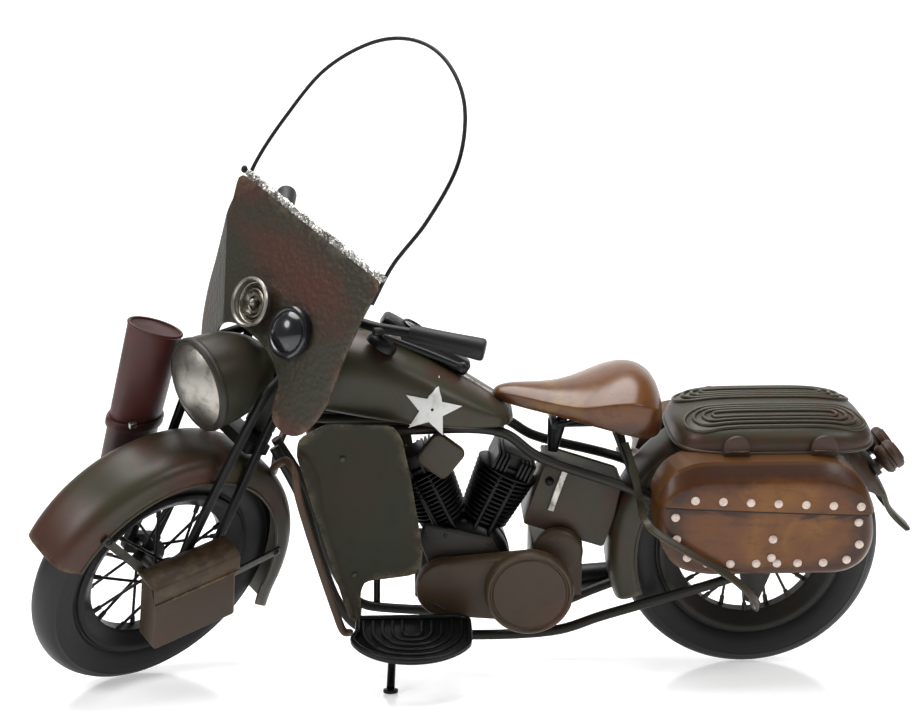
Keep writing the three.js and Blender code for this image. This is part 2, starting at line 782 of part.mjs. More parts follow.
// Each side of the fork is a rear leg, a front leg and the rocker that joins them at the axle.
function forkLeg() {
  const rearLeg = bentRod([[-9.5, -LEG_Y, 3], [-10.3, -LEG_Y, 33], [-12, -LEG_Y, 75], [-12.5, -LEG_Y, 108]],
    1.5, 6, 6);
  const frontLeg = bentRod([[-22.5, -LEG_Y, 2], [-24.5, -17.2, 36], [-27.3, -20.6, 88], [-26.5, -20.4, 95],
    [-20, -18, 101.5], [-12.5, -LEG_Y, 106.5]], 1.5, 14, 6);
  const rocker = block(-25, -7.5, -LEG_Y - 1.5, -LEG_Y + 1.5, -2.6, 4.5);
  const boss = turned([[0, -1.5], [5, -1.5], [5, 1.5], [0, 1.5]], 20).translate(-FORK_OFFSET, -LEG_Y, 0);
  const axleHole = rod([-FORK_OFFSET, -40, 0], [-FORK_OFFSET, 0, 0], AXLE_RADIUS + GAP, 20);
  return cut(join(rearLeg, frontLeg, rocker, boss), axleHole);
}

for (const side of [LEFT, RIGHT]) {
  add(fork, `fork_leg_${sideName(side)}`, onSide(side, forkLeg()), BLACK_PAINT);
}

add(frontLevel, 'front_axle', rod([0, -18.6, 0], [0, 18.6, 0], AXLE_RADIUS, 20), BARE_STEEL);

// Two flat strips run from the axle to the front and the rear of the fender.
function fenderStay() {
  const y = -LEG_Y - 1.5 - GAP - 0.5;
  const eye = turned([[AXLE_RADIUS + GAP, -0.5], [4.5, -0.5], [4.5, 0.5], [AXLE_RADIUS + GAP, 0.5]], 20)
    .translate(0, y, 0);
  const strips = [
    flatBar([-3, y, 2], [-15, y, 17], 3.4, 1),
    flatBar([-15, y, 17], [-32, -FENDER_HALF_WIDTH - 0.8, 40.5], 3.4, 1),
    flatBar([3, y, -1], [20, y, -3], 3.4, 1),
    flatBar([20, y, -3], [51, -FENDER_HALF_WIDTH - 0.8, -5], 3.4, 1),
  ];
  return join(eye, ...strips);
}

add(frontLevel, 'fender_stay', fenderStay(), OLIVE_DARK);

function toolbox() {
  const inner = -LEG_Y - 1.5 - 2 * GAP - 1.1;
  const box = block(-19.5, 18.5, inner - 12.2, inner, -11, 21);
  const lid = block(-20.3, 19.3, inner - 13, inner, 21, 23);
  const flap = block(-20.3, 19.3, inner - 13, inner - 12.1, 13, 21.1);
  return join(box, lid, flap);
}

add(frontLevel, 'toolbox', toolbox(), OLIVE);

// An oval tube, open at the top, hung on the right of the wheel.
function scabbard() {
  const length = 84;
  const wall = 1.1;
  const shell = new THREE.CylinderGeometry(12.5, 11, length, 22);
  const bore = new THREE.CylinderGeometry(12.5 - wall, 11 - wall, length, 22).translate(0, 3, 0);
  const band = new THREE.CylinderGeometry(12.9, 12.8, 4, 22).translate(0, -6, 0);
  const mouthCut = block(-40, 40, -40, 40, -40, 40).rotateZ(-0.26).translate(10, length / 2 + 38.6, 0);
  const oval = cut(join(shell, band), bore, mouthCut).rotateX(Math.PI / 2).scale(1, 0.62, 1);
  return oval.rotateY(THREE.MathUtils.degToRad(12)).translate(10, 28.4, 62);
}

add(frontLevel, 'scabbard', scabbard(), SCABBARD_RED);

// ---------------------------------------------------------------- headlamp

const LAMP_X = 18.5; // lens plane behind the front axle
const LAMP_Z = 86;
const LAMP_RADIUS = 18.6;
const LAMP_DEPTH = 32;

function headlampShell() {
  const back = Array.from({ length: 7 }, (_, i) => {
    const t = i / 6;
    return [LAMP_RADIUS * Math.sqrt(1 - t ** 2.3), t * LAMP_DEPTH];
  });
  const lip = [[0, -1], [LAMP_RADIUS + 0.5, -1], [LAMP_RADIUS + 0.5, 0.6]];
  return turned([...lip, ...back.slice(1, -1), [0, LAMP_DEPTH]], 24).rotateZ(-Math.PI / 2);
}

function headlampLens() {
  return turned([[0, -5], [8, -4.2], [13, -2.2], [16.5, 0.6], [17.3, 1.6], [0, 1.6]], 24).rotateZ(-Math.PI / 2);
}

add(frontLevel, 'headlamp_shell', headlampShell().translate(LAMP_X, 0, LAMP_Z), OLIVE);
add(frontLevel, 'headlamp_lens', headlampLens().translate(LAMP_X - 1 - 1.6 - GAP, 0, LAMP_Z), LENS_SILVER);

// ---------------------------------------------------------------- windshield

const APRON_X = -24.4; // front face, ahead of the steering axis
const APRON_SHEET = 0.8;
const APRON_TOP = 159;
const APRON_HALF_WIDTH = 46;

function apron() {
  const leftHalf = [
    [-8, 109],
    [-16, 106.5],
    [-22.6, 101],
    [-23, 90],
    [-25.5, 85.5],
    [-32, 84],
    [-39, 87],
    [-43.5, 96],
    [-45.5, 108],
    [-44.5, 122],
    [-APRON_HALF_WIDTH, APRON_TOP],
  ];
  const rightHalf = leftHalf.map(([y, z]) => [-y, z]).toReversed();
  return facingPlate([...rightHalf, ...leftHalf], APRON_X, APRON_X + APRON_SHEET);
}

add(fork, 'windshield_apron', apron(), OLIVE);

add(fork, 'windshield_trim', block(APRON_X - 1, APRON_X + APRON_SHEET, -APRON_HALF_WIDTH, APRON_HALF_WIDTH,
  APRON_TOP + GAP, APRON_TOP + 3.6), BARE_STEEL);

// The wire that outlines the screen, bent to a tall arch with its feet behind the apron.
function hoop() {
  const wireX = APRON_X + APRON_SHEET + GAP + 0.9;
  const halfArch = [
    [wireX, -44.5, 149],
    [wireX, -45, 166],
    [-17.5, -46, 186],
    [-12.5, -42.5, 210],
    [-9, -30, 228],
    [-8, -15.5, 237],
  ];
  const path = [...halfArch, [-7.6, 0, 240], ...halfArch.toReversed().map(([x, y, z]) => [x, -y, z])];
  return bentRod(path, 0.9, 36, 6);
}

add(fork, 'windshield_hoop', hoop(), BLACK_PAINT);

const onApron = (geometry, y, z) => geometry.rotateZ(-Math.PI / 2).translate(APRON_X - GAP, y, z);

add(fork, 'spot_lamp', onApron(turned([
  [0, 0],
  [7.4, 0],
  [9.8, -4.5],
  [9.8, -6],
  [8.6, -6],
  [7.2, -4],
  [5.4, -4],
  [5, -2.6],
  [2.2, -2.6],
  [1.8, -4.6],
  [0, -5],
].toReversed(), 20), 4.5, 121), BARE_STEEL);

add(fork, 'horn', onApron(turned([
  [0, -6.5],
  [4, -6],
  [7, -4.4],
  [8.6, -2.6],
  [10, -2.6],
  [10.4, -1.6],
  [10.4, 0],
  [0, 0],
], 20), -18, 121), BLACK_PAINT);

// ---------------------------------------------------------------- handlebar

const GRIP_START = [5.6, -43, 139.4];
const GRIP_END = [21.7, -66, 147.4];
const GRIP_MIDDLE = GRIP_START.map((value, i) => (value + GRIP_END[i]) / 2);

function handlebar() {
  const leftRun = [GRIP_END, GRIP_MIDDLE, GRIP_START, [-2.4, -33, 135.4], [-5, -15, 131]];
  const path = [...leftRun, [-5.5, 0, 130], ...leftRun.toReversed().map(([x, y, z]) => [x, -y, z])];
  const riser = block(-8.5, -2.5, -6, 6, CLAMP_HIGH + 3 + GAP, 131);
  const lever = rod([-4.5, -36, 134.5], [13, -69.5, 140.5], 1.2, 8);
  const leverTip = new THREE.IcosahedronGeometry(2, 0).translate(13, -69.5, 140.5);
  const leverMount = rod([-4.5, -36, 134.5], [1.5, -37.5, 136.8], 1.6, 8);
  return join(bentRod(path, 2, 22, 6), riser, lever, leverTip, leverMount);
}

add(fork, 'handlebar', handlebar(), BLACK_PAINT);

function grip() {
  const start = new THREE.Vector3(...GRIP_START);
  const along = new THREE.Vector3(...GRIP_END).sub(start);
  const outerEnd = start.clone().addScaledVector(along, 1.06).toArray();
  const innerEnd = start.clone().addScaledVector(along, 0.04).toArray();
  const boreStart = start.clone().addScaledVector(along, -0.2).toArray();
  const boreEnd = start.clone().addScaledVector(along, 1.02).toArray();
  return cut(rod(innerEnd, outerEnd, 3.9, 12), rod(boreStart, boreEnd, 2.8, 12));
}

for (const side of [LEFT, RIGHT]) {
  add(fork, `grip_${sideName(side)}`, onSide(side, grip()), BLACK_PAINT);
}

// ---------------------------------------------------------------- placing

// The origin is under the middle of the part, on the floor it stands on.
motorcycle.updateMatrixWorld(true);
const bounds = new THREE.Box3().setFromObject(motorcycle, true);
const middle = bounds.getCenter(new THREE.Vector3());
lean.position.set(-middle.x, -middle.y, -bounds.min.z);

export default motorcycle;
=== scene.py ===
"""Looks of a sheet-metal model motorcycle, about 1:6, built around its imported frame.

Lengths inside the builders are millimetres in one of three local places: BIKE (upright motorcycle,
origin at the rear axle, X back, Y right, Z up), FORK (Z up the steering axis, X back across it) and
FRONT (turns with the fork, origin at the front axle, level when the fork points straight ahead).
"""

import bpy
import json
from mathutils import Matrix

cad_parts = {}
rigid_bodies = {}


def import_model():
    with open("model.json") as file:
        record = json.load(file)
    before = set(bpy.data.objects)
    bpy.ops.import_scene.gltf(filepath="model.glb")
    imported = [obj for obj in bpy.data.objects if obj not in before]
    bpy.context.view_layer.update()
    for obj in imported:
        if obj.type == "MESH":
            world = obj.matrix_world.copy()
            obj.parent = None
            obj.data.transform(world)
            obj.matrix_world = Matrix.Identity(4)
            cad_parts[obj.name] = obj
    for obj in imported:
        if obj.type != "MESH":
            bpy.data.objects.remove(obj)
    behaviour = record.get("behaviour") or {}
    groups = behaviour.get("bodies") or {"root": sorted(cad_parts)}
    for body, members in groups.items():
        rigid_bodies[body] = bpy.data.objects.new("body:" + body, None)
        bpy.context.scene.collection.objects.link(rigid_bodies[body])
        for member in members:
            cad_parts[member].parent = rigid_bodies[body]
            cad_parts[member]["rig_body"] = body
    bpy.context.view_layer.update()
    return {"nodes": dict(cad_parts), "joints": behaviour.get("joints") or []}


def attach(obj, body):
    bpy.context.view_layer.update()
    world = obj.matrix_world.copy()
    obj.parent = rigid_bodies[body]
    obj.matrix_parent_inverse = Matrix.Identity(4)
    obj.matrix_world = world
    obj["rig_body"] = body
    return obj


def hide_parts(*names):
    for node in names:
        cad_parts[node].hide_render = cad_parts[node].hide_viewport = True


bl_info = {
    "name": "Sheet-metal motorcycle",
    "version": (1, 0, 0),
    "blender": (4, 5, 0),
    "location": "3D View > Sidebar > Motorcycle",
    "description": "Builds the looks of a painted sheet-metal model motorcycle around its frame",
    "category": "Add Mesh",
}

import json
import math
import random

import bmesh
import bpy
from mathutils import Matrix, Vector
from mathutils.geometry import delaunay_2d_cdt

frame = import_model()

# ------------------------------------------------------------------ places

MM = 0.001
LEFT, RIGHT = -1, 1
SIDES = {LEFT: "left", RIGHT: "right"}

JOINTS = {joint["name"]: joint for joint in frame["joints"]}


def joint_line(name):
    """A point on a joint's axis, in metres, and the axis."""
    return Vector(JOINTS[name]["pos_m"]), Vector(JOINTS[name]["axis"]).normalized()


def place(origin, x_axis, y_axis, z_axis):
    """The matrix that takes local millimetres to the part's frame in metres."""
    turn = Matrix((x_axis, y_axis, z_axis)).transposed().to_4x4()
    return Matrix.Translation(origin) @ turn @ Matrix.Scale(MM, 4)


rear_axle_point, rear_axle_line = joint_line("rear_wheel_spin")
front_axle_point, front_axle_line = joint_line("front_wheel_spin")
steering_point, steering_line = joint_line("steering")

bike_x = Vector((1, 0, 0))
bike_z = bike_x.cross(rear_axle_line)
fork_x = front_axle_line.cross(steering_line)
steering_foot = steering_point + steering_line * (front_axle_point - steering_point).dot(steering_line)
RAKE = math.acos(steering_line.dot(bike_z))
front_turn = Matrix.Rotation(-RAKE, 3, front_axle_line)

BIKE = place(rear_axle_point, bike_x, rear_axle_line, bike_z)
FORK = place(steering_foot, fork_x, front_axle_line, steering_line)
FRONT = place(front_axle_point, front_turn @ fork_x, front_axle_line, front_turn @ steering_line)

# ------------------------------------------------------------------ driving sizes, as on the frame

TYRE_RADIUS = 55.0
TYRE_CENTRE = 46.4  # radius of the middle of the rubber section
BEAD_RADIUS = 37.6
FENDER_RADIUS = 61.0
FENDER_HALF_WIDTH = 14.5
FENDER_SKIRT_RADIUS = 49.5
BAG_INNER_Y = 20.0
BAG_OUTER_Y = 42.0
LEG_Y = 16.5
DROPOUT_Y = 17.5
PAD_CENTRE_X, PAD_HALF_LENGTH, PAD_HALF_WIDTH = 5.0, 41.0, 29.0
PAD_BOTTOM, PAD_TOP = 50.5, 63.0

# ------------------------------------------------------------------ shape helpers (verts, faces)


def merged(*shapes):
    """Several shapes as one."""
    verts, faces = [], []
    for shape_verts, shape_faces in shapes:
        start = len(verts)
        verts += [Vector(v) for v in shape_verts]
        faces += [[i + start for i in face] for face in shape_faces]
    return verts, faces


def moved(shape, matrix):
    """A shape with every point taken through a matrix."""
    return [matrix @ Vector(v) for v in shape[0]], shape[1]


def shifted(shape, x, y, z):
    """A shape moved by x, y and z."""
    return moved(shape, Matrix.Translation((x, y, z)))


def turned_about(shape, axis, degrees):
    return moved(shape, Matrix.Rotation(math.radians(degrees), 4, axis))


def mirrored(shape):
    """A shape of the left side, on the right side. Its normals are put right when it becomes a mesh."""
    return [Vector((v[0], -v[1], v[2])) for v in shape[0]], [list(reversed(face)) for face in shape[1]]


def on_side(side, shape):
    """A shape drawn for the left, on either side."""
    return shape if side == LEFT else mirrored(shape)


def skin(rings, closed_rings=True, closed_along=False, caps=True):
    """Faces between rings of equal length, with flat ends where the run is open."""
    count = len(rings[0])
    verts = [Vector(p) for ring in rings for p in ring]
    faces = []
    runs = len(rings) if closed_along else len(rings) - 1
    spans = count if closed_rings else count - 1
    for i in range(runs):
        here, there = i * count, ((i + 1) % len(rings)) * count
        for j in range(spans):
            k = (j + 1) % count
            faces.append([here + j, here + k, there + k, there + j])
    if caps and closed_rings and not closed_along:
        faces.append(list(reversed(range(count))))
        faces.append(list(range((len(rings) - 1) * count, len(rings) * count)))
    return verts, faces


def lathe(profile, segments, closed=False):
    """A body of revolution about Y. The profile is a list of (radius, y)."""
    rings = []
    for i in range(segments):
        angle = 2 * math.pi * i / segments
        rings.append([(r * math.cos(angle), y, r * math.sin(angle)) for r, y in profile])
    return skin(rings, closed_rings=closed, closed_along=True)


def lathe_upright(profile, segments=64, closed=False):
    """The same, standing on Z. The profile is a list of (radius, z)."""
    return turned_about(lathe(profile, segments, closed), "X", 90)


def lathe_forward(profile, segments=96, closed=False):
    """The same, lying along X. The profile is a list of (radius, x)."""
    return turned_about(lathe(profile, segments, closed), "Z", -90)


def prism(outline, low, high, plane="side"):
    """A plate: its outline lies in the side (X, Z), level (X, Y) or facing (Y, Z) plane."""
    place_point = {
        "side": lambda a, b, c: (a, c, b),
        "level": lambda a, b, c: (a, b, c),
        "facing": lambda a, b, c: (c, a, b),
    }[plane]
    return skin([[place_point(a, b, c) for a, b in outline] for c in (low, high)])


def block(x0, x1, y0, y1, z0, z1):
    """A box between two values on each axis."""
    return prism([(x0, y0), (x1, y0), (x1, y1), (x0, y1)], z0, z1, "level")


def arc(centre_a, centre_b, radius, start, end, steps):
    """Points of an arc, between two angles in degrees."""
    angles = [math.radians(start + (end - start) * i / steps) for i in range(steps + 1)]
    return [(centre_a + radius * math.cos(t), centre_b + radius * math.sin(t)) for t in angles]


def smooth_path(points, steps):
    """A Catmull-Rom curve through the points, centripetal, as a list of vectors."""
    pts = [Vector(p) for p in points]
    pts = [2 * pts[0] - pts[1], *pts, 2 * pts[-1] - pts[-2]]
    out = []
    for p0, p1, p2, p3 in zip(pts, pts[1:], pts[2:], pts[3:]):
        t0 = 0.0
        t1 = t0 + (p1 - p0).length ** 0.5
        t2 = t1 + (p2 - p1).length ** 0.5
        t3 = t2 + (p3 - p2).length ** 0.5
        for i in range(steps):
            t = t1 + (t2 - t1) * i / steps
            a1 = p0.lerp(p1, (t - t0) / (t1 - t0))
            a2 = p1.lerp(p2, (t - t1) / (t2 - t1))
            a3 = p2.lerp(p3, (t - t2) / (t3 - t2))
            b1 = a1.lerp(a2, (t - t0) / (t2 - t0))
            b2 = a2.lerp(a3, (t - t1) / (t3 - t1))
            out.append(b1.lerp(b2, (t - t1) / (t2 - t1)))
    out.append(pts[-2].copy())
    return out


def bar_section(width, thickness, corner):
    """A flat bar's section with rounded corners, as (across, through) pairs."""
    a, b = width / 2 - corner, thickness / 2 - corner
    points = []
    for centre, start in (((a, b), 0), ((-a, b), 90), ((-a, -b), 180), ((a, -b), 270)):
        points += arc(*centre, corner, start, start + 90, 3)
    return points


def sweep(path, section, face_normal=None, first_normal=None):
    """A section carried along a path. face_normal keeps its thickness pointing one way all along,
    first_normal only at the start."""
    pts = [Vector(p) for p in path]
    rings = []
    normal = None
    for i, point in enumerate(pts):
        tangent = (pts[min(i + 1, len(pts) - 1)] - pts[max(i - 1, 0)]).normalized()
        if face_normal is not None:
            wanted = Vector(face_normal)
            normal = (wanted - tangent * wanted.dot(tangent)).normalized()
        elif normal is None:
            start = Vector(first_normal) if first_normal else tangent.orthogonal()
            normal = (start - tangent * start.dot(tangent)).normalized()
        else:
            normal = (normal - tangent * normal.dot(tangent)).normalized()
        across = tangent.cross(normal)
        rings.append([point + across * a + normal * b for a, b in section])
    return skin(rings)


def sheet(outline, z_of, creases=(), spacing=3.0):
    """A thin curved panel: the outline is filled with triangles, and z_of lifts each point off its plane."""
    points = [Vector(p) for p in outline]
    edges = [(i, (i + 1) % len(points)) for i in range(len(points))]
    for start, end in creases:
        first = len(points)
        points += [Vector(start), Vector(end)]
        edges.append((first, first + 1))
    low = [min(p[i] for p in outline) for i in (0, 1)]
    high = [max(p[i] for p in outline) for i in (0, 1)]
    rows = int((high[1] - low[1]) / spacing)
    columns = int((high[0] - low[0]) / spacing)
    for i in range(1, rows + 1):
        for j in range(1, columns + 1):
            shift = 0.5 if i % 2 else 0.0
            inner = Vector((low[0] + (j - shift) * spacing, low[1] + (i - 0.5) * spacing))
            if inside(inner, outline, spacing * 0.45):
                points.append(inner)
    verts, _, faces, *_ = delaunay_2d_cdt(points, edges, [], 1, 1e-5)
    kept = [face for face in faces
            if inside(sum((verts[i] for i in face), Vector((0, 0))) / len(face), outline, 0)]
    return [z_of(v[0], v[1]) for v in verts], [list(face) for face in kept]


def inside(point, outline, margin):
    """Whether a point is inside an outline, and at least the margin away from its edges."""
    hit = False
    for (ax, ay), (bx, by) in zip(outline, [*outline[1:], outline[0]]):
        if (ay > point[1]) != (by > point[1]) and point[0] < (bx - ax) * (point[1] - ay) / (by - ay) + ax:
            hit = not hit
        if margin:
            side = Vector((bx - ax, by - ay))
            share = max(0.0,
                        min(1.0, (Vector((point[0] - ax, point[1] - ay))).dot(side) / side.length_squared))
            if (Vector((point[0] - ax, point[1] - ay)) - side * share).length < margin:
                return False
    return hit


def rounded(outline, radius, steps=5):
    """An outline with each corner rounded, as far as its edges leave room."""
    out = []
    count = len(outline)
    for i in range(count):
        before, here, after = (Vector(outline[(i + k) % count]) for k in (-1, 0, 1))
        reach_in = min(radius, (before - here).length * 0.45)
        reach_out = min(radius, (after - here).length * 0.45)
        start = here + (before - here).normalized() * reach_in
        end = here + (after - here).normalized() * reach_out
        for k in range(steps + 1):
            t = k / steps
            out.append(tuple(start.lerp(here, t).lerp(here.lerp(end, t), t)))
    return out


def resampled(outline, count):
    """A closed outline with its points spread evenly."""
    pts = [Vector(p) for p in outline]
    lengths = [(b - a).length for a, b in zip(pts, [*pts[1:], pts[0]])]
    total = sum(lengths)
    out = []
    index, walked = 0, 0.0
    for k in range(count):
        target = total * k / count
        while walked + lengths[index] < target:
            walked += lengths[index]
            index += 1
        share = (target - walked) / lengths[index]
        out.append(tuple(pts[index].lerp(pts[(index + 1) % len(pts)], share)))
    return out


def inset(outline, distance):
    """A closed outline moved inwards. distance is a number or a function of the point."""
    pts = [Vector(p) for p in outline]
    area = sum(a[0] * b[1] - b[0] * a[1] for a, b in zip(pts, [*pts[1:], pts[0]]))
    turn = 1 if area > 0 else -1
    out = []
    for i, here in enumerate(pts):
        along = pts[(i + 1) % len(pts)] - pts[i - 1]
        inward = Vector((-along[1], along[0])).normalized() * turn
        reach = distance(here) if callable(distance) else distance
        out.append(tuple(here + inward * reach))
    return out


# ------------------------------------------------------------------ meshes


def to_plain_mesh(piece):
    """Gives a piece its evaluated mesh, and takes its modifiers off."""
    bpy.context.view_layer.update()
    evaluated = piece.evaluated_get(bpy.context.evaluated_depsgraph_get())
    mesh = bpy.data.meshes.new_from_object(evaluated)
    piece.modifiers.clear()
    old, piece.data = piece.data, mesh
    mesh.name = piece.name
    bpy.data.meshes.remove(old)


def add_modifier(piece, kind, **settings):
    """Adds a modifier and sets it up."""
    modifier = piece.modifiers.new(kind.lower(), kind)
    for key, value in settings.items():
        setattr(modifier, key, value)
    return modifier


WELD = 0.005  # points nearer than this, in millimetres, become one


def make_piece(name, shape, where, material, smooth=40, thickness=0, bevel=0, rounding=0):
    """One mesh object from a shape in local millimetres. Modifiers are applied before it takes its place."""
    verts, faces = shape
    mesh = bpy.data.meshes.new(name)
    mesh.from_pydata([tuple(v) for v in verts], [], [list(face) for face in faces])
    work = bmesh.new()
    work.from_mesh(mesh)
    bmesh.ops.remove_doubles(work, verts=work.verts, dist=WELD)
    bmesh.ops.dissolve_degenerate(work, edges=work.edges, dist=1e-4)
    bmesh.ops.recalc_face_normals(work, faces=work.faces)
    work.to_mesh(mesh)
    work.free()
    piece = bpy.data.objects.new(name, mesh)
    bpy.context.scene.collection.objects.link(piece)
    if thickness:
        add_modifier(piece, "SOLIDIFY", thickness=thickness, offset=-1, use_even_offset=True)
    if bevel:
        add_modifier(piece, "BEVEL", width=bevel, segments=2, limit_method="ANGLE",
                     angle_limit=math.radians(32), harden_normals=False)
    if rounding:
        add_modifier(piece, "SUBSURF", levels=rounding, render_levels=rounding)
    if thickness or bevel or rounding:
        to_plain_mesh(piece)
    finish_mesh(piece, where, material, smooth)
    return piece


def finish_mesh(piece, where, material, smooth):
    """Takes a piece's mesh to its place and gives it its material and shading."""
    mesh = piece.data
    mesh.transform(where)
    mesh.materials.clear()
    mesh.materials.append(material)
    mesh.polygons.foreach_set("material_index", [0] * len(mesh.polygons))
    mesh.polygons.foreach_set("use_smooth", [True] * len(mesh.polygons))
    mesh.set_sharp_from_angle(angle=math.radians(smooth))
    mesh.update()


def mark_rim(piece, where, share_of):
    """Stores how strongly the darker rim colour of its material shows at each vertex, 0 to 1."""
    back = where.inverted()
    rim = piece.data.attributes.new("rim", "FLOAT", "POINT")
    for vertex, value in zip(piece.data.vertices, rim.data):
        value.value = max(0.0, min(1.0, share_of(*(back @ vertex.co))))
    return piece


def rim_of(tree, spot, break_mm, low, high):
    """The stored rim share, broken up by noise."""
    stored = node(tree, "ShaderNodeAttribute", {"attribute_name": "rim"}).outputs["Fac"]
    broken = noise(tree, spot, break_mm, detail=4, rough=0.65)
    uneven = node(tree, "ShaderNodeMath", {"operation": "MULTIPLY_ADD"},
                  {0: broken, 1: 0.5, 2: stored}).outputs[0]
    return ramp(tree, uneven, low, high)


def finish_piece(piece, body, replaces=()):
    """Ties a piece to its CAD body, and hides the CAD parts that it stands for."""
    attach(piece, body)
    if replaces:
        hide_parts(*([replaces] if isinstance(replaces, str) else replaces))
    return piece


def add_piece(name, shape, where, material, body, replaces=(), slot=None, **finish):
    """A piece made from a shape and tied to its body. finish holds make_piece's other settings."""
    return finish_piece(make_piece(name, shape, where, material, **finish), body, replaces)


def refined(name, node, material, bevel):
    """A copy of a CAD node, merged and with softened edges, that stands for the node."""
    source = frame["nodes"][node]
    mesh = source.data.copy()
    mesh.name = name
    work = bmesh.new()
    work.from_mesh(mesh)
    bmesh.ops.remove_doubles(work, verts=work.verts, dist=0.00001)
    bmesh.ops.dissolve_limit(work, angle_limit=math.radians(3), verts=work.verts, edges=work.edges)
    bmesh.ops.recalc_face_normals(work, faces=work.faces)
    work.to_mesh(mesh)
    work.free()
    piece = bpy.data.objects.new(name, mesh)
    bpy.context.scene.collection.objects.link(piece)
    if bevel:
        add_modifier(piece, "BEVEL", width=bevel * MM, segments=2, limit_method="ANGLE",
                     angle_limit=math.radians(35))
        to_plain_mesh(piece)
    finish_mesh(piece, Matrix.Identity(4), material, 40)
    finish_piece(piece, source["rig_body"], node)
    return piece


# ------------------------------------------------------------------ geometry node trees


def new_tree(name, inputs):
    """An empty geometry node tree with a geometry in and out, and the named inputs."""
    tree = bpy.data.node_groups.new(name, "GeometryNodeTree")
    tree.interface.new_socket("Geometry", in_out="INPUT", socket_type="NodeSocketGeometry")
    for label, (kind, default) in inputs.items():
        socket = tree.interface.new_socket(label, in_out="INPUT", socket_type="NodeSocket" + kind)
        if default is not None:
            socket.default_value = default
    tree.interface.new_socket("Material", in_out="INPUT", socket_type="NodeSocketMaterial")
    tree.interface.new_socket("Geometry", in_out="OUTPUT", socket_type="NodeSocketGeometry")
    return tree, node(tree, "NodeGroupInput").outputs


def end_tree(tree, given, geometry):
    """Realize Instances, Shade Smooth and Set Material, and the tree's output."""
    real = node(tree, "GeometryNodeRealizeInstances", None, {"Geometry": geometry})
    smooth = node(tree, "GeometryNodeSetShadeSmooth", None, {"Geometry": real.outputs[0]})
    paint = node(tree, "GeometryNodeSetMaterial", None,
                 {"Geometry": smooth.outputs[0], "Material": given["Material"]})
    node(tree, "NodeGroupOutput", None, {"Geometry": paint.outputs[0]})
    return tree


def piping_tree():
    """A round wire along every edge path of the mesh."""
    tree, given = new_tree("piping", {"Radius": ("Float", 1.0), "Sides": ("Int", 10)})
    line = node(tree, "GeometryNodeMeshToCurve", None, {"Mesh": given["Geometry"]})
    ring = node(tree, "GeometryNodeCurvePrimitiveCircle", {"mode": "RADIUS"},
                {"Resolution": given["Sides"], "Radius": given["Radius"]})
    wire = node(tree, "GeometryNodeCurveToMesh", None,
                {"Curve": line.outputs[0], "Profile Curve": ring.outputs[0], "Fill Caps": True})
    return end_tree(tree, given, wire.outputs[0])


def spoke_tree():
    """The wires drawn by the mesh's edges, repeated round Y."""
    tree, given = new_tree("spoke_array", {
        "Radius": ("Float", 0.65), "Sides": ("Int", 8), "Repeats": ("Int", 5)})
    line = node(tree, "GeometryNodeMeshToCurve", None, {"Mesh": given["Geometry"]})
    ring = node(tree, "GeometryNodeCurvePrimitiveCircle", {"mode": "RADIUS"},
                {"Resolution": given["Sides"], "Radius": given["Radius"]})
    wire = node(tree, "GeometryNodeCurveToMesh", None,
                {"Curve": line.outputs[0], "Profile Curve": ring.outputs[0], "Fill Caps": True})
    centres = node(tree, "GeometryNodePoints", None, {"Count": given["Repeats"]})
    index = node(tree, "GeometryNodeInputIndex")
    step = node(tree, "ShaderNodeMath", {"operation": "DIVIDE"}, {0: 2 * math.pi, 1: given["Repeats"]})
    angle = node(tree, "ShaderNodeMath", {"operation": "MULTIPLY"}, {0: index.outputs[0], 1: step.outputs[0]})
    turn = node(tree, "ShaderNodeCombineXYZ", None, {"Y": angle.outputs[0]})
    placed = node(tree, "GeometryNodeInstanceOnPoints", None,
                  {"Points": centres.outputs[0], "Instance": wire.outputs[0], "Rotation": turn.outputs[0]})
    return end_tree(tree, given, placed.outputs[0])


def stud_tree():
    """A domed head on every point of the mesh, facing along the point's "facing" vector."""
    tree, given = new_tree("domed_heads", {"Radius": ("Float", 1.6), "Height": ("Float", 0.9)})
    ball = node(tree, "GeometryNodeMeshUVSphere", None, {"Segments": 20, "Rings": 12, "Radius": 1.0})
    size = node(tree, "ShaderNodeCombineXYZ", None,
                {"X": given["Radius"], "Y": given["Radius"], "Z": given["Height"]})
    dome = node(tree, "GeometryNodeTransform", None, {"Geometry": ball.outputs["Mesh"],
                                                      "Scale": size.outputs[0]})
    facing = node(tree, "GeometryNodeInputNamedAttribute", {"data_type": "FLOAT_VECTOR"}, {"Name": "facing"})
    turn = node(tree, "FunctionNodeAlignRotationToVector", {"axis": "Z"},
                {"Vector": facing.outputs["Attribute"]})
    points = node(tree, "GeometryNodeMeshToPoints", None, {"Mesh": given["Geometry"]})
    placed = node(tree, "GeometryNodeInstanceOnPoints", None,
                  {"Points": points.outputs[0], "Instance": dome.outputs[0], "Rotation": turn.outputs[0]})
    return end_tree(tree, given, placed.outputs[0])


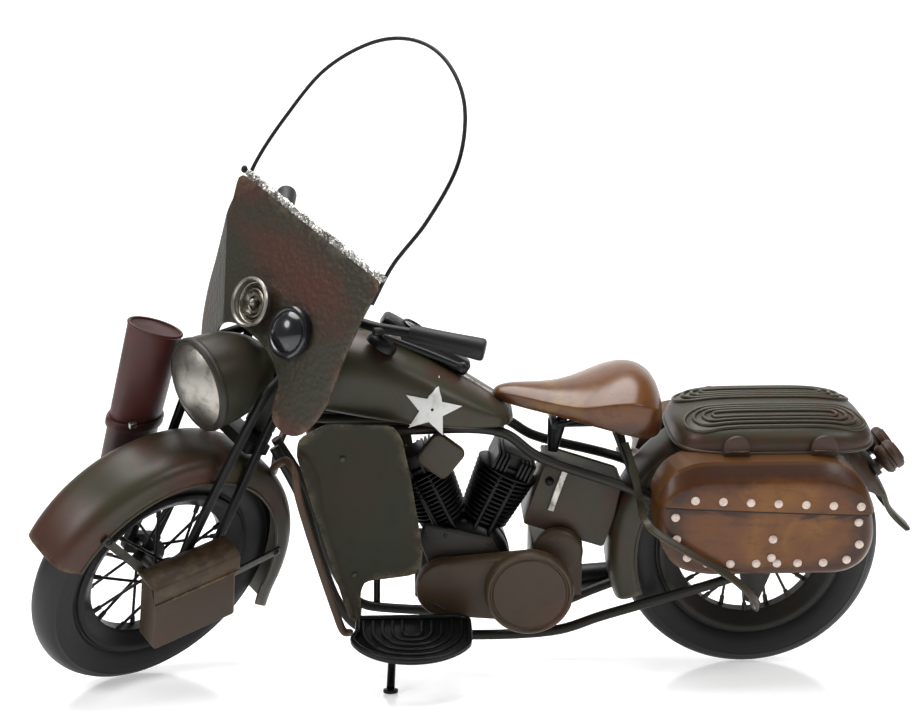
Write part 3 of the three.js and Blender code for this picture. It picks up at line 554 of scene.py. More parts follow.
def stack_tree():
    """The mesh repeated step by step, its width growing evenly from the first copy to the last."""
    tree, given = new_tree("fin_stack", {"Count": ("Int", 10), "Step": ("Vector", None),
                                         "First size": ("Float", 1.0), "Last size": ("Float", 1.0)})
    line = node(tree, "GeometryNodeMeshLine", {"mode": "OFFSET"},
                {"Count": given["Count"], "Offset": given["Step"]})
    index = node(tree, "GeometryNodeInputIndex")
    last = node(tree, "ShaderNodeMath", {"operation": "SUBTRACT"}, {0: given["Count"], 1: 1.0})
    size = node(tree, "ShaderNodeMapRange", None,
                {"Value": index.outputs[0], "From Max": last.outputs[0],
                 "To Min": given["First size"], "To Max": given["Last size"]})
    scale = node(tree, "ShaderNodeCombineXYZ", None, {"X": size.outputs[0], "Y": size.outputs[0], "Z": 1.0})
    placed = node(tree, "GeometryNodeInstanceOnPoints", None,
                  {"Points": line.outputs[0], "Instance": given["Geometry"], "Scale": scale.outputs[0]})
    return end_tree(tree, given, placed.outputs[0])


def grown(name, mesh_data, tree, values, where, material, smooth=40):
    """A piece that a node tree makes from a small mesh (verts, edges, faces) in local millimetres."""
    verts, edges, faces = mesh_data
    mesh = bpy.data.meshes.new(name)
    mesh.from_pydata([tuple(v) for v in verts], edges, faces)
    piece = bpy.data.objects.new(name, mesh)
    bpy.context.scene.collection.objects.link(piece)
    if "facing" in values:
        attribute = mesh.attributes.new("facing", "FLOAT_VECTOR", "POINT")
        attribute.data.foreach_set("vector", [c for v in values["facing"] for c in v])
    modifier = piece.modifiers.new(tree.name, "NODES")
    modifier.node_group = tree
    given = {**values, "Material": material}
    for item in tree.interface.items_tree:
        if item.in_out == "INPUT" and item.name in given:
            modifier[item.identifier] = given[item.name]
    to_plain_mesh(piece)
    work = bmesh.new()
    work.from_mesh(piece.data)
    bmesh.ops.recalc_face_normals(work, faces=work.faces)
    work.to_mesh(piece.data)
    work.free()
    for attribute in [a for a in piece.data.attributes if a.name == "facing"]:
        piece.data.attributes.remove(attribute)
    finish_mesh(piece, where, material, smooth)
    return piece


def paths_mesh(paths, closed=False):
    """Points and edges of several paths, for the piping tree."""
    verts, edges = [], []
    for path in paths:
        start = len(verts)
        verts += [Vector(p) for p in path]
        edges += [(start + i, start + i + 1) for i in range(len(path) - 1)]
        if closed:
            edges.append((start + len(path) - 1, start))
    return verts, edges, []


def piping(name, paths, radius, where, material, sides=12, closed=False):
    return grown(name, paths_mesh(paths, closed), TREES["piping"], {"Radius": radius, "Sides": sides},
                 where, material, smooth=50)


def heads(name, points, facing, radius, height, where, material):
    """Domed rivet or stud heads at the points."""
    directions = facing if isinstance(facing[0], (tuple, list, Vector)) else [facing] * len(points)
    return grown(name, (points, [], []), TREES["heads"], {"Radius": radius, "Height": height,
                                                          "facing": [Vector(d) for d in directions]}, where,
                 material)


# ------------------------------------------------------------------ materials


def linear(code):
    """An sRGB hex colour as linear RGBA."""
    values = [int(code[i:i + 2], 16) / 255 for i in (0, 2, 4)]
    return (*[v / 12.92 if v <= 0.04045 else ((v + 0.055) / 1.055) ** 2.4 for v in values], 1.0)


def node(tree, kind, settings=None, links=None):
    """Adds a node, sets its properties, and gives its named or numbered inputs a value or a link."""
    made = tree.nodes.new(kind)
    for key, value in (settings or {}).items():
        setattr(made, key, value)
    for key, value in (links or {}).items():
        if isinstance(value, bpy.types.NodeSocket):
            tree.links.new(value, made.inputs[key])
        else:
            made.inputs[key].default_value = value
    return made


def noise(tree, place_socket, size_mm, detail=4.0, rough=0.55, stretch=None, distortion=0.0):
    """Noise whose blotches are about size_mm across."""
    source = place_socket
    if stretch:
        source = node(tree, "ShaderNodeMapping", None, {"Vector": place_socket, "Scale": stretch}).outputs[0]
    return node(tree, "ShaderNodeTexNoise", None,
                {"Vector": source, "Scale": 1 / (size_mm * MM), "Detail": detail, "Roughness": rough,
                 "Distortion": distortion}).outputs["Fac"]


def ramp(tree, value, low, high):
    """0 below low, 1 above high, smooth between."""
    return node(tree, "ShaderNodeMapRange", {"interpolation_type": "SMOOTHSTEP"},
                {"Value": value, "From Min": low, "From Max": high}).outputs[0]


def scaled(tree, value, low, high):
    """A 0 to 1 value spread from low to high."""
    return node(tree, "ShaderNodeMapRange", None, {"Value": value, "To Min": low, "To Max": high}).outputs[0]


def times(tree, first, second):
    return node(tree, "ShaderNodeMath", {"operation": "MULTIPLY"}, {0: first, 1: second}).outputs[0]


def blend(tree, share, first, second):
    """Mixes two colours, given as sockets, hex codes or stored colours."""
    first, second = (linear(c) if isinstance(c, str) else c for c in (first, second))
    made = node(tree, "ShaderNodeMix", {"data_type": "RGBA"})
    for socket, value in ((made.inputs[0], share), (made.inputs[6], first), (made.inputs[7], second)):
        if isinstance(value, bpy.types.NodeSocket):
            tree.links.new(value, socket)
        else:
            socket.default_value = value if isinstance(value, float) else (*value[:3], 1.0)
    return made.outputs[2]


def new_material(name):
    """A material with a Principled shader, and the piece's own coordinates in metres."""
    material = bpy.data.materials.new(name)
    material.use_nodes = True
    tree = material.node_tree
    tree.nodes.clear()
    shader = node(tree, "ShaderNodeBsdfPrincipled")
    node(tree, "ShaderNodeOutputMaterial", None, {"Surface": shader.outputs[0]})
    return material, tree, shader, node(tree, "ShaderNodeTexCoord").outputs["Object"]


def set_shader(tree, shader, color, roughness, normal):
    """Links the shader's colour, roughness and normal."""
    for key, value in (("Base Color", color), ("Roughness", roughness), ("Normal", normal)):
        tree.links.new(value, shader.inputs[key])


def bump(tree, height, depth_mm, strength=1.0, under=None):
    links = {"Height": height, "Strength": strength, "Distance": depth_mm * MM}
    if under is not None:
        links["Normal"] = under
    return node(tree, "ShaderNodeBump", None, links).outputs[0]


def edge_share(tree):
    """1 on outside edges, where paint wears through."""
    pointiness = node(tree, "ShaderNodeNewGeometry").outputs["Pointiness"]
    return ramp(tree, pointiness, 0.53, 0.62)


def lacquer(name, base, wash, worn, wash_share=0.55, blotch_mm=26, roughness=(0.38, 0.55), relief_mm=0.05,
            grain_mm=0.9, wear=0.5, coat=0.0, hammer_mm=0.0, shine=0.3):
    """Hand-brushed lacquer over tinplate: cloudy, with a brown wash rubbed into it and worn edges."""
    material, tree, shader, spot = new_material(name)
    cloud = noise(tree, spot, blotch_mm, detail=3, rough=0.6, distortion=0.4)
    fine = noise(tree, spot, grain_mm, detail=5, rough=0.65)
    grime = noise(tree, spot, 6, detail=6, rough=0.7)
    color = blend(tree, times(tree, ramp(tree, cloud, 0.46, 0.68), wash_share), base, wash)
    color = blend(tree, times(tree, rim_of(tree, spot, 9, 0.45, 1.1), 0.85), color, wash)
    shade = "151411"
    color = blend(tree, times(tree, ramp(tree, grime, 0.52, 0.75), 0.35), color, shade)
    edges = times(tree, edge_share(tree), times(tree, ramp(tree, grime, 0.42, 0.6), wear))
    color = blend(tree, edges, color, worn)
    rough = scaled(tree, grime, *roughness)
    height = bump(tree, fine, relief_mm, 0.6)
    if hammer_mm:
        dents = node(tree, "ShaderNodeTexVoronoi", {"feature": "SMOOTH_F1"},
                     {"Vector": spot, "Scale": 1 / (hammer_mm * MM), "Smoothness": 0.6, "Randomness": 1.0})
        height = bump(tree, dents.outputs["Distance"], 0.28, 0.7, under=height)
    set_shader(tree, shader, color, rough, height)
    shader.inputs["Specular IOR Level"].default_value = shine
    shader.inputs["Coat Weight"].default_value = coat
    shader.inputs["Coat Roughness"].default_value = 0.25
    return material


def bare_metal(name, bright, dull, roughness=(0.2, 0.42), brush_mm=0.6, dent_mm=0.0, depth_mm=0.02):
    """Tinplate or nickel left bare: bright, with a cloudy tarnish and fine rubbing marks."""
    material, tree, shader, spot = new_material(name)
    tarnish = noise(tree, spot, 7, detail=5, rough=0.65, distortion=0.6)
    marks = noise(tree, spot, brush_mm, detail=3, rough=0.6, stretch=(1, 1, 0.12))
    color = blend(tree, ramp(tree, tarnish, 0.42, 0.72), bright, dull)
    height = bump(tree, marks, depth_mm, 0.5)
    if dent_mm:
        facets = node(tree, "ShaderNodeTexVoronoi", {"feature": "F1"},
                      {"Vector": spot, "Scale": 1 / (dent_mm * MM)})
        height = bump(tree, facets.outputs["Distance"], 0.5, 1.0, under=height)
    set_shader(tree, shader, color, scaled(tree, tarnish, *roughness), height)
    shader.inputs["Metallic"].default_value = 1.0
    return material


def rubber(name, base, dust):
    """Moulded tyre rubber: matt black with grey dust in its pores and a soft shine on rubbed parts."""
    material, tree, shader, spot = new_material(name)
    cloud = noise(tree, spot, 14, detail=4, rough=0.6)
    pores = noise(tree, spot, 0.7, detail=3, rough=0.5)
    color = blend(tree, times(tree, ramp(tree, cloud, 0.4, 0.75), 0.6), base, dust)
    set_shader(tree, shader, color, scaled(tree, cloud, 0.42, 0.6), bump(tree, pores, 0.04, 0.5))
    shader.inputs["Specular IOR Level"].default_value = 0.3
    return material


def leather_paint(name, base, dark, gold, streak, gloss, crease_mm, coat, streak_share=0.5):
    """Lacquered sheet painted to look like waxed leather: brown, darker at its edges, with painted shade in
    its creases, golden where the lacquer is thick."""
    material, tree, shader, spot = new_material(name)
    cloud = noise(tree, spot, 20, detail=4, rough=0.6, distortion=0.5)
    amber = noise(tree, spot, 33, detail=3, rough=0.55, distortion=0.8)
    strokes = noise(tree, spot, 3.2, detail=5, rough=0.7, stretch=streak)
    creases = noise(tree, spot, crease_mm, detail=5, rough=0.6, distortion=1.2)
    color = blend(tree, times(tree, ramp(tree, amber, 0.5, 0.72), 0.75), base, gold)
    color = blend(tree, times(tree, ramp(tree, strokes, 0.5, 0.68), streak_share), color, dark)
    color = blend(tree, times(tree, ramp(tree, cloud, 0.56, 0.74), 0.6), color, dark)
    # Darker where the stored rim share is high; on the bags this holds a painted shadow just under the flap.
    color = blend(tree, times(tree, rim_of(tree, spot, 7, 0.5, 1.05), 0.92), color, dark)
    pointiness = node(tree, "ShaderNodeNewGeometry").outputs["Pointiness"]
    # Concave spots made darker: painted shade in the creases.
    painted_crease_shade = times(tree, ramp(tree, pointiness, 0.495, 0.47), 0.7)
    color = blend(tree, painted_crease_shade, color, dark)
    light_edge = times(tree, ramp(tree, pointiness, 0.512, 0.545), 0.2)
    color = blend(tree, light_edge, color, gold)
    height = bump(tree, creases, 0.16, 0.5, under=bump(tree, strokes, 0.05, 0.5))
    set_shader(tree, shader, color, scaled(tree, cloud, *gloss), height)
    shader.inputs["Specular IOR Level"].default_value = 0.25
    shader.inputs["Coat Weight"].default_value = coat
    shader.inputs["Coat Roughness"].default_value = 0.2
    return material


MATERIALS = {}
TREES = {}


def make_materials():
    """One material for each finish on the object."""
    paint = bpy.context.scene.motorcycle_finish
    wear = paint.wear
    olive, olive_brown = paint.olive[:], paint.olive_brown[:]
    MATERIALS.update({
        # Satin olive drab, cloudy, with umber showing through.
        "olive": lacquer("olive_drab_lacquer_on_tinplate", olive, "3d231a", "7d7058", wear=wear,
                         wash_share=0.75, roughness=(0.3, 0.46), shine=0.28),
        # The same paint on a sheet that was tapped over a leather pad, so it has a fine hammered skin.
        "apron": lacquer("olive_drab_lacquer_on_hammered_sheet", "28271c", "3f2218", "7d7058",
                         wash_share=0.9, blotch_mm=42, roughness=(0.34, 0.5), relief_mm=0.1, grain_mm=1.4,
                         wear=wear, hammer_mm=2.0),
        # Olive that was rubbed over with more umber, on the tool box, clutch and primary covers.
        "olive_brown": lacquer("umber_washed_olive_lacquer", olive_brown, "47291a", "84704e", wash_share=0.7,
                               blotch_mm=34, wear=wear),
        # Dark olive, almost black: the olive darkened as painted shade, for parts in the shadows of the
        # machine.
        "shield": lacquer("olive_lacquer_darkened_as_painted_shade", "25261c", "2c2018", "7d7058", wear=wear,
                          roughness=(0.3, 0.44), blotch_mm=34, shine=0.12),
        "olive_dark": lacquer("dark_olive_lacquer", "191913", "261a14", "55503c", wear=wear * 0.7),
        # Black stove enamel on rods, engine and wheels, with a soft shine.
        "black": lacquer("black_stoving_enamel", "090a0b", "0f0d0d", "303030", wash_share=0.5,
                         roughness=(0.3, 0.48), wear=wear * 0.4, relief_mm=0.03, shine=0.2),
        "gloss_black": lacquer("glossy_black_enamel", "0d0e12", "15151b", "2b2b35", wash_share=0.4,
                               roughness=(0.08, 0.16), wear=0.1, relief_mm=0.01, coat=0.6),
        "tyre": rubber("moulded_black_rubber", "0e0e10", "1b1b1e"),
        "grip": rubber("pressed_black_rubber_sleeve", "0f0f10", "19191b"),
        "steel": bare_metal("tarnished_nickel_plate", "a5a29c", "55524c"),
        "lens": bare_metal("dull_silver_leaf_on_domed_tin", "98948d", "6f6b65", roughness=(0.3, 0.48),
                           brush_mm=1.4, depth_mm=0.12),
        "foil": bare_metal("crumpled_silver_foil", "b5b3ae", "4c4a46", roughness=(0.28, 0.45), dent_mm=1.5),
        "star": lacquer("light_grey_matt_enamel", "c8c8c5", "b4b3ae", "dcdcd8", wash_share=0.5, blotch_mm=7,
                        roughness=(0.5, 0.65), relief_mm=0.04, grain_mm=0.7, wear=0.2),
        "saddle": leather_paint("glossy_brown_lacquer_as_leather", paint.saddle[:], "2c140a", "715214",
                                (0.5, 1, 1), (0.22, 0.38), 7, 0.25, 0.4),
        "bag": leather_paint("satin_brown_lacquer_as_leather", paint.bag[:], "29120a", "7a5118",
                             (0.4, 1, 1), (0.3, 0.48), 5, 0.1, 0.35),
        # Painted shadow: a dark brown for the line just under the flap, where the flap's shade falls.
        "flap_shadow_line": lacquer("painted_shadow_under_the_flap", "1d0f09", "2c1810", "4a2c18", wear=0.1,
                          roughness=(0.5, 0.65)),
        "scabbard": lacquer("red_brown_lacquer_on_tube", "3d1a17", "271816", "60382f", wash_share=0.85,
                            blotch_mm=30, roughness=(0.36, 0.52), wear=wear * 0.5),
        "lamp": lacquer("brown_lacquer_on_tail_lamp", "38281f", "44261d", "7a6650", blotch_mm=8, wear=wear),
        "stud": lacquer("pinkish_silver_enamel_dabs", "c9b9ad", "a89086", "e6dcd4", wash_share=0.6,
                        blotch_mm=1.6, roughness=(0.35, 0.55), relief_mm=0.08, grain_mm=0.6, wear=0.3),
        "smoked": bare_metal("smoked_silver_reflector", "8a857a", "3a3733", roughness=(0.2, 0.35),
                             brush_mm=1.2),
        "lid": lacquer("light_olive_grey_lid_paint", "5a594f", "3c372d", "9a978a", blotch_mm=16, wear=wear),
        "copper": bare_metal("tarnished_copper_wire", "a98478", "5e4a44", roughness=(0.3, 0.5)),
    })


def make_trees():
    """One node tree for each kind of repeat."""
    TREES.update({"piping": piping_tree(), "spokes": spoke_tree(), "heads": stud_tree(),
                  "stack": stack_tree()})


# ------------------------------------------------------------------ sizes and colours a user may change


class MotorcycleSizes(bpy.types.PropertyGroup):
    """Sizes of the details, in millimetres."""

    spoke_count: bpy.props.IntProperty(name="Spokes",
                                       description="Wire spokes in each wheel, in steps of four", default=20,
                                       min=8, max=40, step=4)
    spoke_radius: bpy.props.FloatProperty(
        name="Spoke radius", description="Radius of a wire spoke, in mm", default=0.65, min=0.3, max=1.2)
    fender_sheet: bpy.props.FloatProperty(name="Fender sheet",
                                          description="Thickness of the fender sheet, in mm", default=0.8,
                                          min=0.3, max=1.5)
    fin_count: bpy.props.IntProperty(
        name="Cylinder fins", description="Cooling fins on each cylinder barrel", default=12, min=6, max=16)
    tube_radius: bpy.props.FloatProperty(
        name="Frame tube radius", description="Radius of the frame tubes, in mm", default=2.1, min=1.2, max=3)
    stud_radius: bpy.props.FloatProperty(
        name="Stud radius", description="Radius of a saddlebag stud, in mm", default=1.75, min=0.8, max=2.5)
    rib_radius: bpy.props.FloatProperty(
        name="Pad rib radius", description="Radius of the luggage pad's pressed ribs, in mm", default=0.85,
        min=0.4, max=1.6)


def color_property(name, description, code):
    return bpy.props.FloatVectorProperty(
        name=name, description=description, subtype="COLOR", size=3, min=0, max=1, default=linear(code)[:3])


class MotorcycleFinish(bpy.types.PropertyGroup):
    """Colours of the main finishes."""

    olive: color_property("Olive", "Lacquer of the tank, fenders and windshield", "2f2d1f")
    olive_brown: color_property("Olive brown", "Lacquer of the tool box and primary cover", "36291b")
    saddle: color_property("Saddle", "Glossy brown of the saddle", "5a3516")
    bag: color_property("Bags", "Satin brown of the saddlebags", "5a3415")
    wear: bpy.props.FloatProperty(
        name="Wear", description="How far the paint is rubbed off the edges", default=0.4, min=0, max=1,
        subtype="FACTOR")


def sizes():
    """The settings group with the sizes."""
    return bpy.context.scene.motorcycle_sizes


# ------------------------------------------------------------------ wheels


def tyre_shape():
    """Balloon section on a narrow bead, with two faint moulding lines on its shoulders."""
    half_height, half_width = TYRE_RADIUS - TYRE_CENTRE, 8.2
    section = [(BEAD_RADIUS, -5.2), (BEAD_RADIUS + 1.2, -5.4)]
    steps = 48
    for i in range(steps + 1):
        degrees = -138 + 276 * i / steps
        angle = math.radians(degrees)
        ridge = 0.28 if i in (12, 36) else 0.0
        section.append((TYRE_CENTRE + (half_height + ridge) * math.cos(angle),
                        (half_width + ridge) * math.sin(angle)))
    section += [(BEAD_RADIUS + 1.2, 5.4), (BEAD_RADIUS, 5.2)]
    return lathe(section, 128, closed=True)


def rim_shape():
    """Rolled rim with lips either side and a drop centre."""
    half = [(37.3, 5.2), (38.9, 5.5), (39.2, 6.1), (38.6, 6.8), (37.3, 6.9), (36.1, 6.4), (35.2, 5.4),
            (32.4, 3.8), (31.1, 2.4)]
    return lathe(half + [(r, -y) for r, y in reversed(half)], 128, closed=True)


def hub_shape():
    """The hub with its two flanges."""
    bore = 2.4
    half = [(bore, 9.2), (3.6, 9.2), (4.4, 8.6), (4.4, 7.2), (7.6, 6.8), (8.1, 6.2), (7.6, 5.4), (4.6, 4.9),
            (3.9, 2.5)]
    return lathe(half + [(r, -y) for r, y in reversed(half)], 48, closed=True)


def spoke_cell(from_share, to_share):
    """Four crossing spokes from the hub's flanges to the rim, or a share of their length."""
    count = sizes().spoke_count
    lines = []
    for i in range(4):
        flange = 1 if i % 2 == 0 else -1
        crossing = math.radians(40 if i < 2 else -40)
        rim_angle = 2 * math.pi * i / count
        hub_angle = rim_angle + crossing
        hub_end = Vector((6.4 * math.cos(hub_angle), flange * 6.1, 6.4 * math.sin(hub_angle)))
        rim_end = Vector((31.6 * math.cos(rim_angle), flange * 1.6, 31.6 * math.sin(rim_angle)))
        lines.append([hub_end.lerp(rim_end, from_share), hub_end.lerp(rim_end, to_share)])
    return paths_mesh(lines)


def build_wheel(prefix, where, rim_material):
    body = f"{prefix}_wheel"
    add_piece(f"{prefix}_balloon_tyre", tyre_shape(), where, MATERIALS["tyre"], body, f"{prefix}_tyre",
              "tyre_rubber", smooth=30)
    slot = "black_paint" if prefix == "front" else "dark_olive_paint"
    add_piece(f"{prefix}_rim_ring", rim_shape(), where, rim_material, body, f"{prefix}_spoke_wheel", slot)
    add_piece(f"{prefix}_hub_shell", hub_shape(), where, rim_material, body, slot=slot)
    repeats = sizes().spoke_count // 4
    for name, start, end, radius in (("wire_spokes", 0, 1, sizes().spoke_radius),
                                     ("spoke_nipples", 0.86, 0.99, sizes().spoke_radius * 1.6)):
        finish_piece(grown(f"{prefix}_{name}", spoke_cell(start, end), TREES["spokes"],
                           {"Radius": radius, "Sides": 8, "Repeats": repeats}, where, rim_material), body)
    valve = [(25.5, 0, 1.0), (30.5, 0, 1.0), (31.5, 0, 1.6)]
    finish_piece(piping(f"{prefix}_valve_stem", [[(-r * 0.8, y, r * 0.6) for r, y, _ in valve]], 0.9, where,
                        MATERIALS["steel"]), body)


# ------------------------------------------------------------------ fenders


def fender_section(lift=0.0, drop=0.0):
    """Half-round channel with straight skirts, as (radius, y). lift raises it, drop shortens its skirts."""
    skirt = FENDER_SKIRT_RADIUS + drop + lift
    crown = FENDER_RADIUS + lift
    shoulder = max(crown - 8, skirt + 0.6)
    points = [(skirt, -FENDER_HALF_WIDTH)]
    steps = 28
    for i in range(steps + 1):
        angle = math.pi * (i / steps - 0.5)
        side = math.copysign(abs(math.sin(angle)) ** 0.6, angle)
        points.append((shoulder + (crown - shoulder) * abs(math.cos(angle)) ** 0.75,
                       FENDER_HALF_WIDTH * side))
    points.append((skirt, FENDER_HALF_WIDTH))
    return points


def fender_shape(start, end, lift=lambda degrees: 0.0, drop=lambda degrees: 0.0, width=lambda degrees: 1.0):
    """The sheet between two angles. lift, drop and width say how it changes along its length."""
    rings = []
    steps = round(abs(end - start) / 2)
    for i in range(steps + 1):
        degrees = start + (end - start) * i / steps
        angle = math.radians(degrees)
        rings.append([(r * math.cos(angle), y * width(degrees), r * math.sin(angle))
                      for r, y in fender_section(lift(degrees), drop(degrees))])
    return skin(rings, closed_rings=False, caps=False)


def skirt_lines(start, end):
    """The two lower edges of a fender, where its sheet is rolled over a wire."""
    steps = round(abs(end - start) / 3)
    angles = [math.radians(start + (end - start) * i / steps) for i in range(steps + 1)]
    radius = FENDER_SKIRT_RADIUS + 0.4
    return [[(radius * math.cos(a), side * (FENDER_HALF_WIDTH - 0.1), radius * math.sin(a)) for a in angles]
            for side in (LEFT, RIGHT)]


def build_fenders():
    """Both fenders with rolled edges, the front lip, the stays and their rivets."""
    olive = MATERIALS["olive"]
    thickness = sizes().fender_sheet
    rear_flare = lambda degrees: 3.0 * max(0.0, (-26 - degrees) / 12) ** 2
    front = fender_shape(-38, 147, rear_flare)
    front = make_piece("front_fender_shell", front, FRONT, olive, smooth=55, thickness=thickness)
    toward_lip = lambda x, y, z: (math.degrees(math.atan2(z, x)) - 108) / 32
    finish_piece(mark_rim(front, FRONT, toward_lip), "fork", "front_fender")
    finish_piece(piping("front_fender_edge_wire", skirt_lines(-26, 146.5), 0.75, FRONT, olive), "fork")
    angle = math.radians(147.4)
    lip = []
    for reach in (0.4, -1.6, -3.8):
        lip.append([((r + reach) * math.cos(angle + 0.012 * (2 - reach) / 6), y * 0.96,
                     (r + reach) * math.sin(angle + 0.012 * (2 - reach) / 6))
                    for r, y in fender_section()[4:-4]])
    add_piece("front_fender_lip", skin(lip, closed_rings=False, caps=False), FRONT, MATERIALS["lamp"],
              "fork", slot="olive_paint", thickness=0.9, smooth=50)
    tail_flare = lambda degrees: 7.5 * max(0.0, (20 - degrees) / 14) ** 2
    tail_notch = lambda degrees: 8.5 * max(0.0, min(1.0, (38 - degrees) / 14))
    tail_taper = lambda degrees: 1 - 0.5 * max(0.0, min(1.0, (34 - degrees) / 22))
    rear = fender_shape(6, 200, tail_flare, tail_notch, tail_taper)
    add_piece("rear_fender_shell", rear, BIKE, olive, "frame", "rear_fender", "olive_paint", smooth=55,
              thickness=thickness)
    finish_piece(piping("rear_fender_edge_wire", skirt_lines(39, 199.5), 0.75, BIKE, olive), "frame")
    finish_piece(refined("front_fender_stays", "fender_stay", MATERIALS["olive_dark"], 0.25), "fork")
    stay_y = -LEG_Y - 3.4
    spots = [(-30.5, -FENDER_HALF_WIDTH - 1.4, 39), (49.5, -FENDER_HALF_WIDTH - 1.4, -5), (0, stay_y, 0)]
    finish_piece(heads("front_fender_rivets", spots, (0, -1, 0), 1.5, 0.8, FRONT, MATERIALS["black"]), "fork")


def build_tail_lamps():
    """Two round lamps of stepped discs on a plate across the rear fender's slope."""
    slope = 90 - 36.5
    profile = [(0, 0), (2.6, 0), (2.6, 2.4), (5.0, 3.0), (6.3, 4.4), (6.5, 5.8), (5.7, 6.4), (5.7, 7.2),
               (6.4, 7.8), (6.4, 9.8), (5.6, 10.9), (4.2, 11.4), (3.8, 11.9), (0, 12.1)]
    for side, name in SIDES.items():
        lamp = turned_about(shifted(lathe_upright(profile, 48), 0, side * 7.9, FENDER_RADIUS + 0.8), "Y",
                            slope)
        add_piece(f"round_tail_lamp_{name}", lamp, BIKE, MATERIALS["lamp"], "frame", f"tail_lamp_{name}",
                  "lamp_brown", smooth=35)
    plate = prism(rounded([(-3.4, -12.4), (3.4, -12.4), (3.4, 12.4), (-3.4, 12.4)], 3), FENDER_RADIUS - 0.6,
                  FENDER_RADIUS + 1.8, "level")
    add_piece("tail_lamp_plate", turned_about(plate, "Y", slope), BIKE, MATERIALS["olive_dark"], "frame",
              slot="dark_olive_paint", bevel=0.3)


# ------------------------------------------------------------------ frame


def side_paths(path, side):
    """A path on one side, mirrored for the right."""
    return [[(x, -side * y, z) for x, y, z in path]]


def build_frame():
    """Frame tubes, dropouts, head tube and rear axle."""
    olive = MATERIALS["olive_dark"]
    radius = sizes().tube_radius
    upper = [(-192, -5.2, 56), (-150, -7.5, 55), (-106, -9, 54), (-91, -12.5, 44.5), (-51, -17.5, 31),
             (-20, -DROPOUT_Y, 14), (-5, -DROPOUT_Y, 5)]
    lower = [(-199, -5, 47), (-188, -8, 25), (-181, -10, 0), (-174, -11, -20), (-166, -11, -31),
             (-150, -11, -34.5), (-84, -12, -34.5), (-62, -13, -27), (-17, -DROPOUT_Y, -11),
             (-10, -DROPOUT_Y, -8.5)]
    dropout = rounded([(-9, 7), (-5, 8.4), (6, 4.6), (6.4, -6), (1.4, -19.4), (-4, -19.4), (-7, -5)], 2.2)
    for side, name in SIDES.items():
        finish_piece(piping(f"upper_tube_{name}", side_paths(smooth_path(upper, 8), side), radius, BIKE,
                            olive, 16), "frame", f"frame_tube_{name}")
        finish_piece(piping(f"lower_rail_{name}", side_paths(smooth_path(lower, 8), side), radius, BIKE,
                            olive, 16), "frame", f"lower_tube_{name}")
        plate = on_side(side, prism(dropout, -DROPOUT_Y - 1.2, -DROPOUT_Y + 1.2))
        add_piece(f"dropout_plate_{name}", plate, BIKE, olive, "frame", slot="olive_paint", bevel=0.3)
        nut = on_side(side, prism(arc(0, 0, 3.9, 0, 300, 5), -22.2, -19.4))
        add_piece(f"rear_axle_nut_{name}", nut, BIKE, MATERIALS["steel"], "frame", slot="bare_steel",
                  bevel=0.3)
    finish_piece(refined("rear_axle_rod", "rear_axle", MATERIALS["steel"], 0.3), "frame")
    finish_piece(refined("steering_head_lug", "head_tube", olive, 0.4), "frame")
    cross = [[(-166, -11, -31), (-166, 11, -31)], [(-84, -12, -34.5), (-84, 12, -34.5)],
             [(-106, -9, 54), (-106, 9, 54)]]
    finish_piece(piping("frame_cross_tubes", cross, 1.6, BIKE, olive), "frame")


# ------------------------------------------------------------------ fuel tank


TANK_STATIONS = [
    # x, top, bottom, half width
    (-186.2, 74, 69.6, 9.5), (-185.2, 80, 69.2, 13.5), (-181.6, 88.5, 68.2, 19), (-177, 94.2, 67, 21.4),
    (-170, 96.6, 65.6, 22), (-160, 95.6, 63.6, 22), (-147, 90.6, 61.4, 22), (-135, 84.2, 59.6, 21.4),
    (-125, 77.9, 58.6, 19.8), (-115, 71.4, 57.8, 17.6), (-107, 66.2, 57.6, 15), (-103, 63.4, 57.9, 11.5),
    (-101.2, 61.6, 58.6, 7.5),
]
SHOULDER = 2.5  # squareness of the tank's section above its middle
BELLY = 7.0  # and below it


def tank_station(x):
    """Top, bottom and half width of the tank at x."""
    for here, there in zip(TANK_STATIONS, TANK_STATIONS[1:]):
        if here[0] <= x <= there[0]:
            share = (x - here[0]) / (there[0] - here[0])
            return [a + (b - a) * share for a, b in zip(here[1:], there[1:])]
    raise ValueError(f"no tank at x = {x}")


def tank_side_y(x, z):
    """How far the tank's skin is from its middle at a side point."""
    top, bottom, half = tank_station(x)
    middle = bottom + 0.42 * (top - bottom)
    z = max(z, bottom + 1.5)
    reach, power = (top - middle, SHOULDER) if z > middle else (middle - bottom, BELLY)
    return half * max(0.0, 1 - abs((z - middle) / reach) ** power) ** (1 / power)


def tank_half_shape():
    """The tank's left half as a closed skin, a hair short of the middle seam."""
    rings = []
    seam = 0.35
    xs = []
    for here, there in zip(TANK_STATIONS, TANK_STATIONS[1:]):
        xs += [here[0] + (there[0] - here[0]) * k / 3 for k in range(3)]
    for x in [*xs, TANK_STATIONS[-1][0]]:
        top, bottom, half = tank_station(x)
        middle = bottom + 0.42 * (top - bottom)
        ring = []
        steps = 36
        for i in range(steps + 1):
            angle = math.pi * (0.5 - i / steps)
            power, reach = (SHOULDER, top - middle) if angle > 0 else (BELLY, middle - bottom)
            out = abs(math.cos(angle)) ** (2 / power)
            up = math.copysign(abs(math.sin(angle)) ** (2 / power), angle)
            ring.append((x, -seam - (half - seam) * out, middle + reach * up))
        rings.append(ring)
    return skin(rings)


STAR_TURN = math.radians(15)


STAR_WAIST = 0.42  # inner corners of the star, as a share of its points


def star_outline(centre_x, centre_z, radius):
    """Corners of a five-pointed star, turned a little forward."""
    points = []
    for i in range(10):
        angle = math.pi / 2 - STAR_TURN + math.pi * i / 5
        reach = radius if i % 2 == 0 else radius * STAR_WAIST
        points.append((centre_x + reach * math.cos(angle), centre_z + reach * math.sin(angle)))
    return points


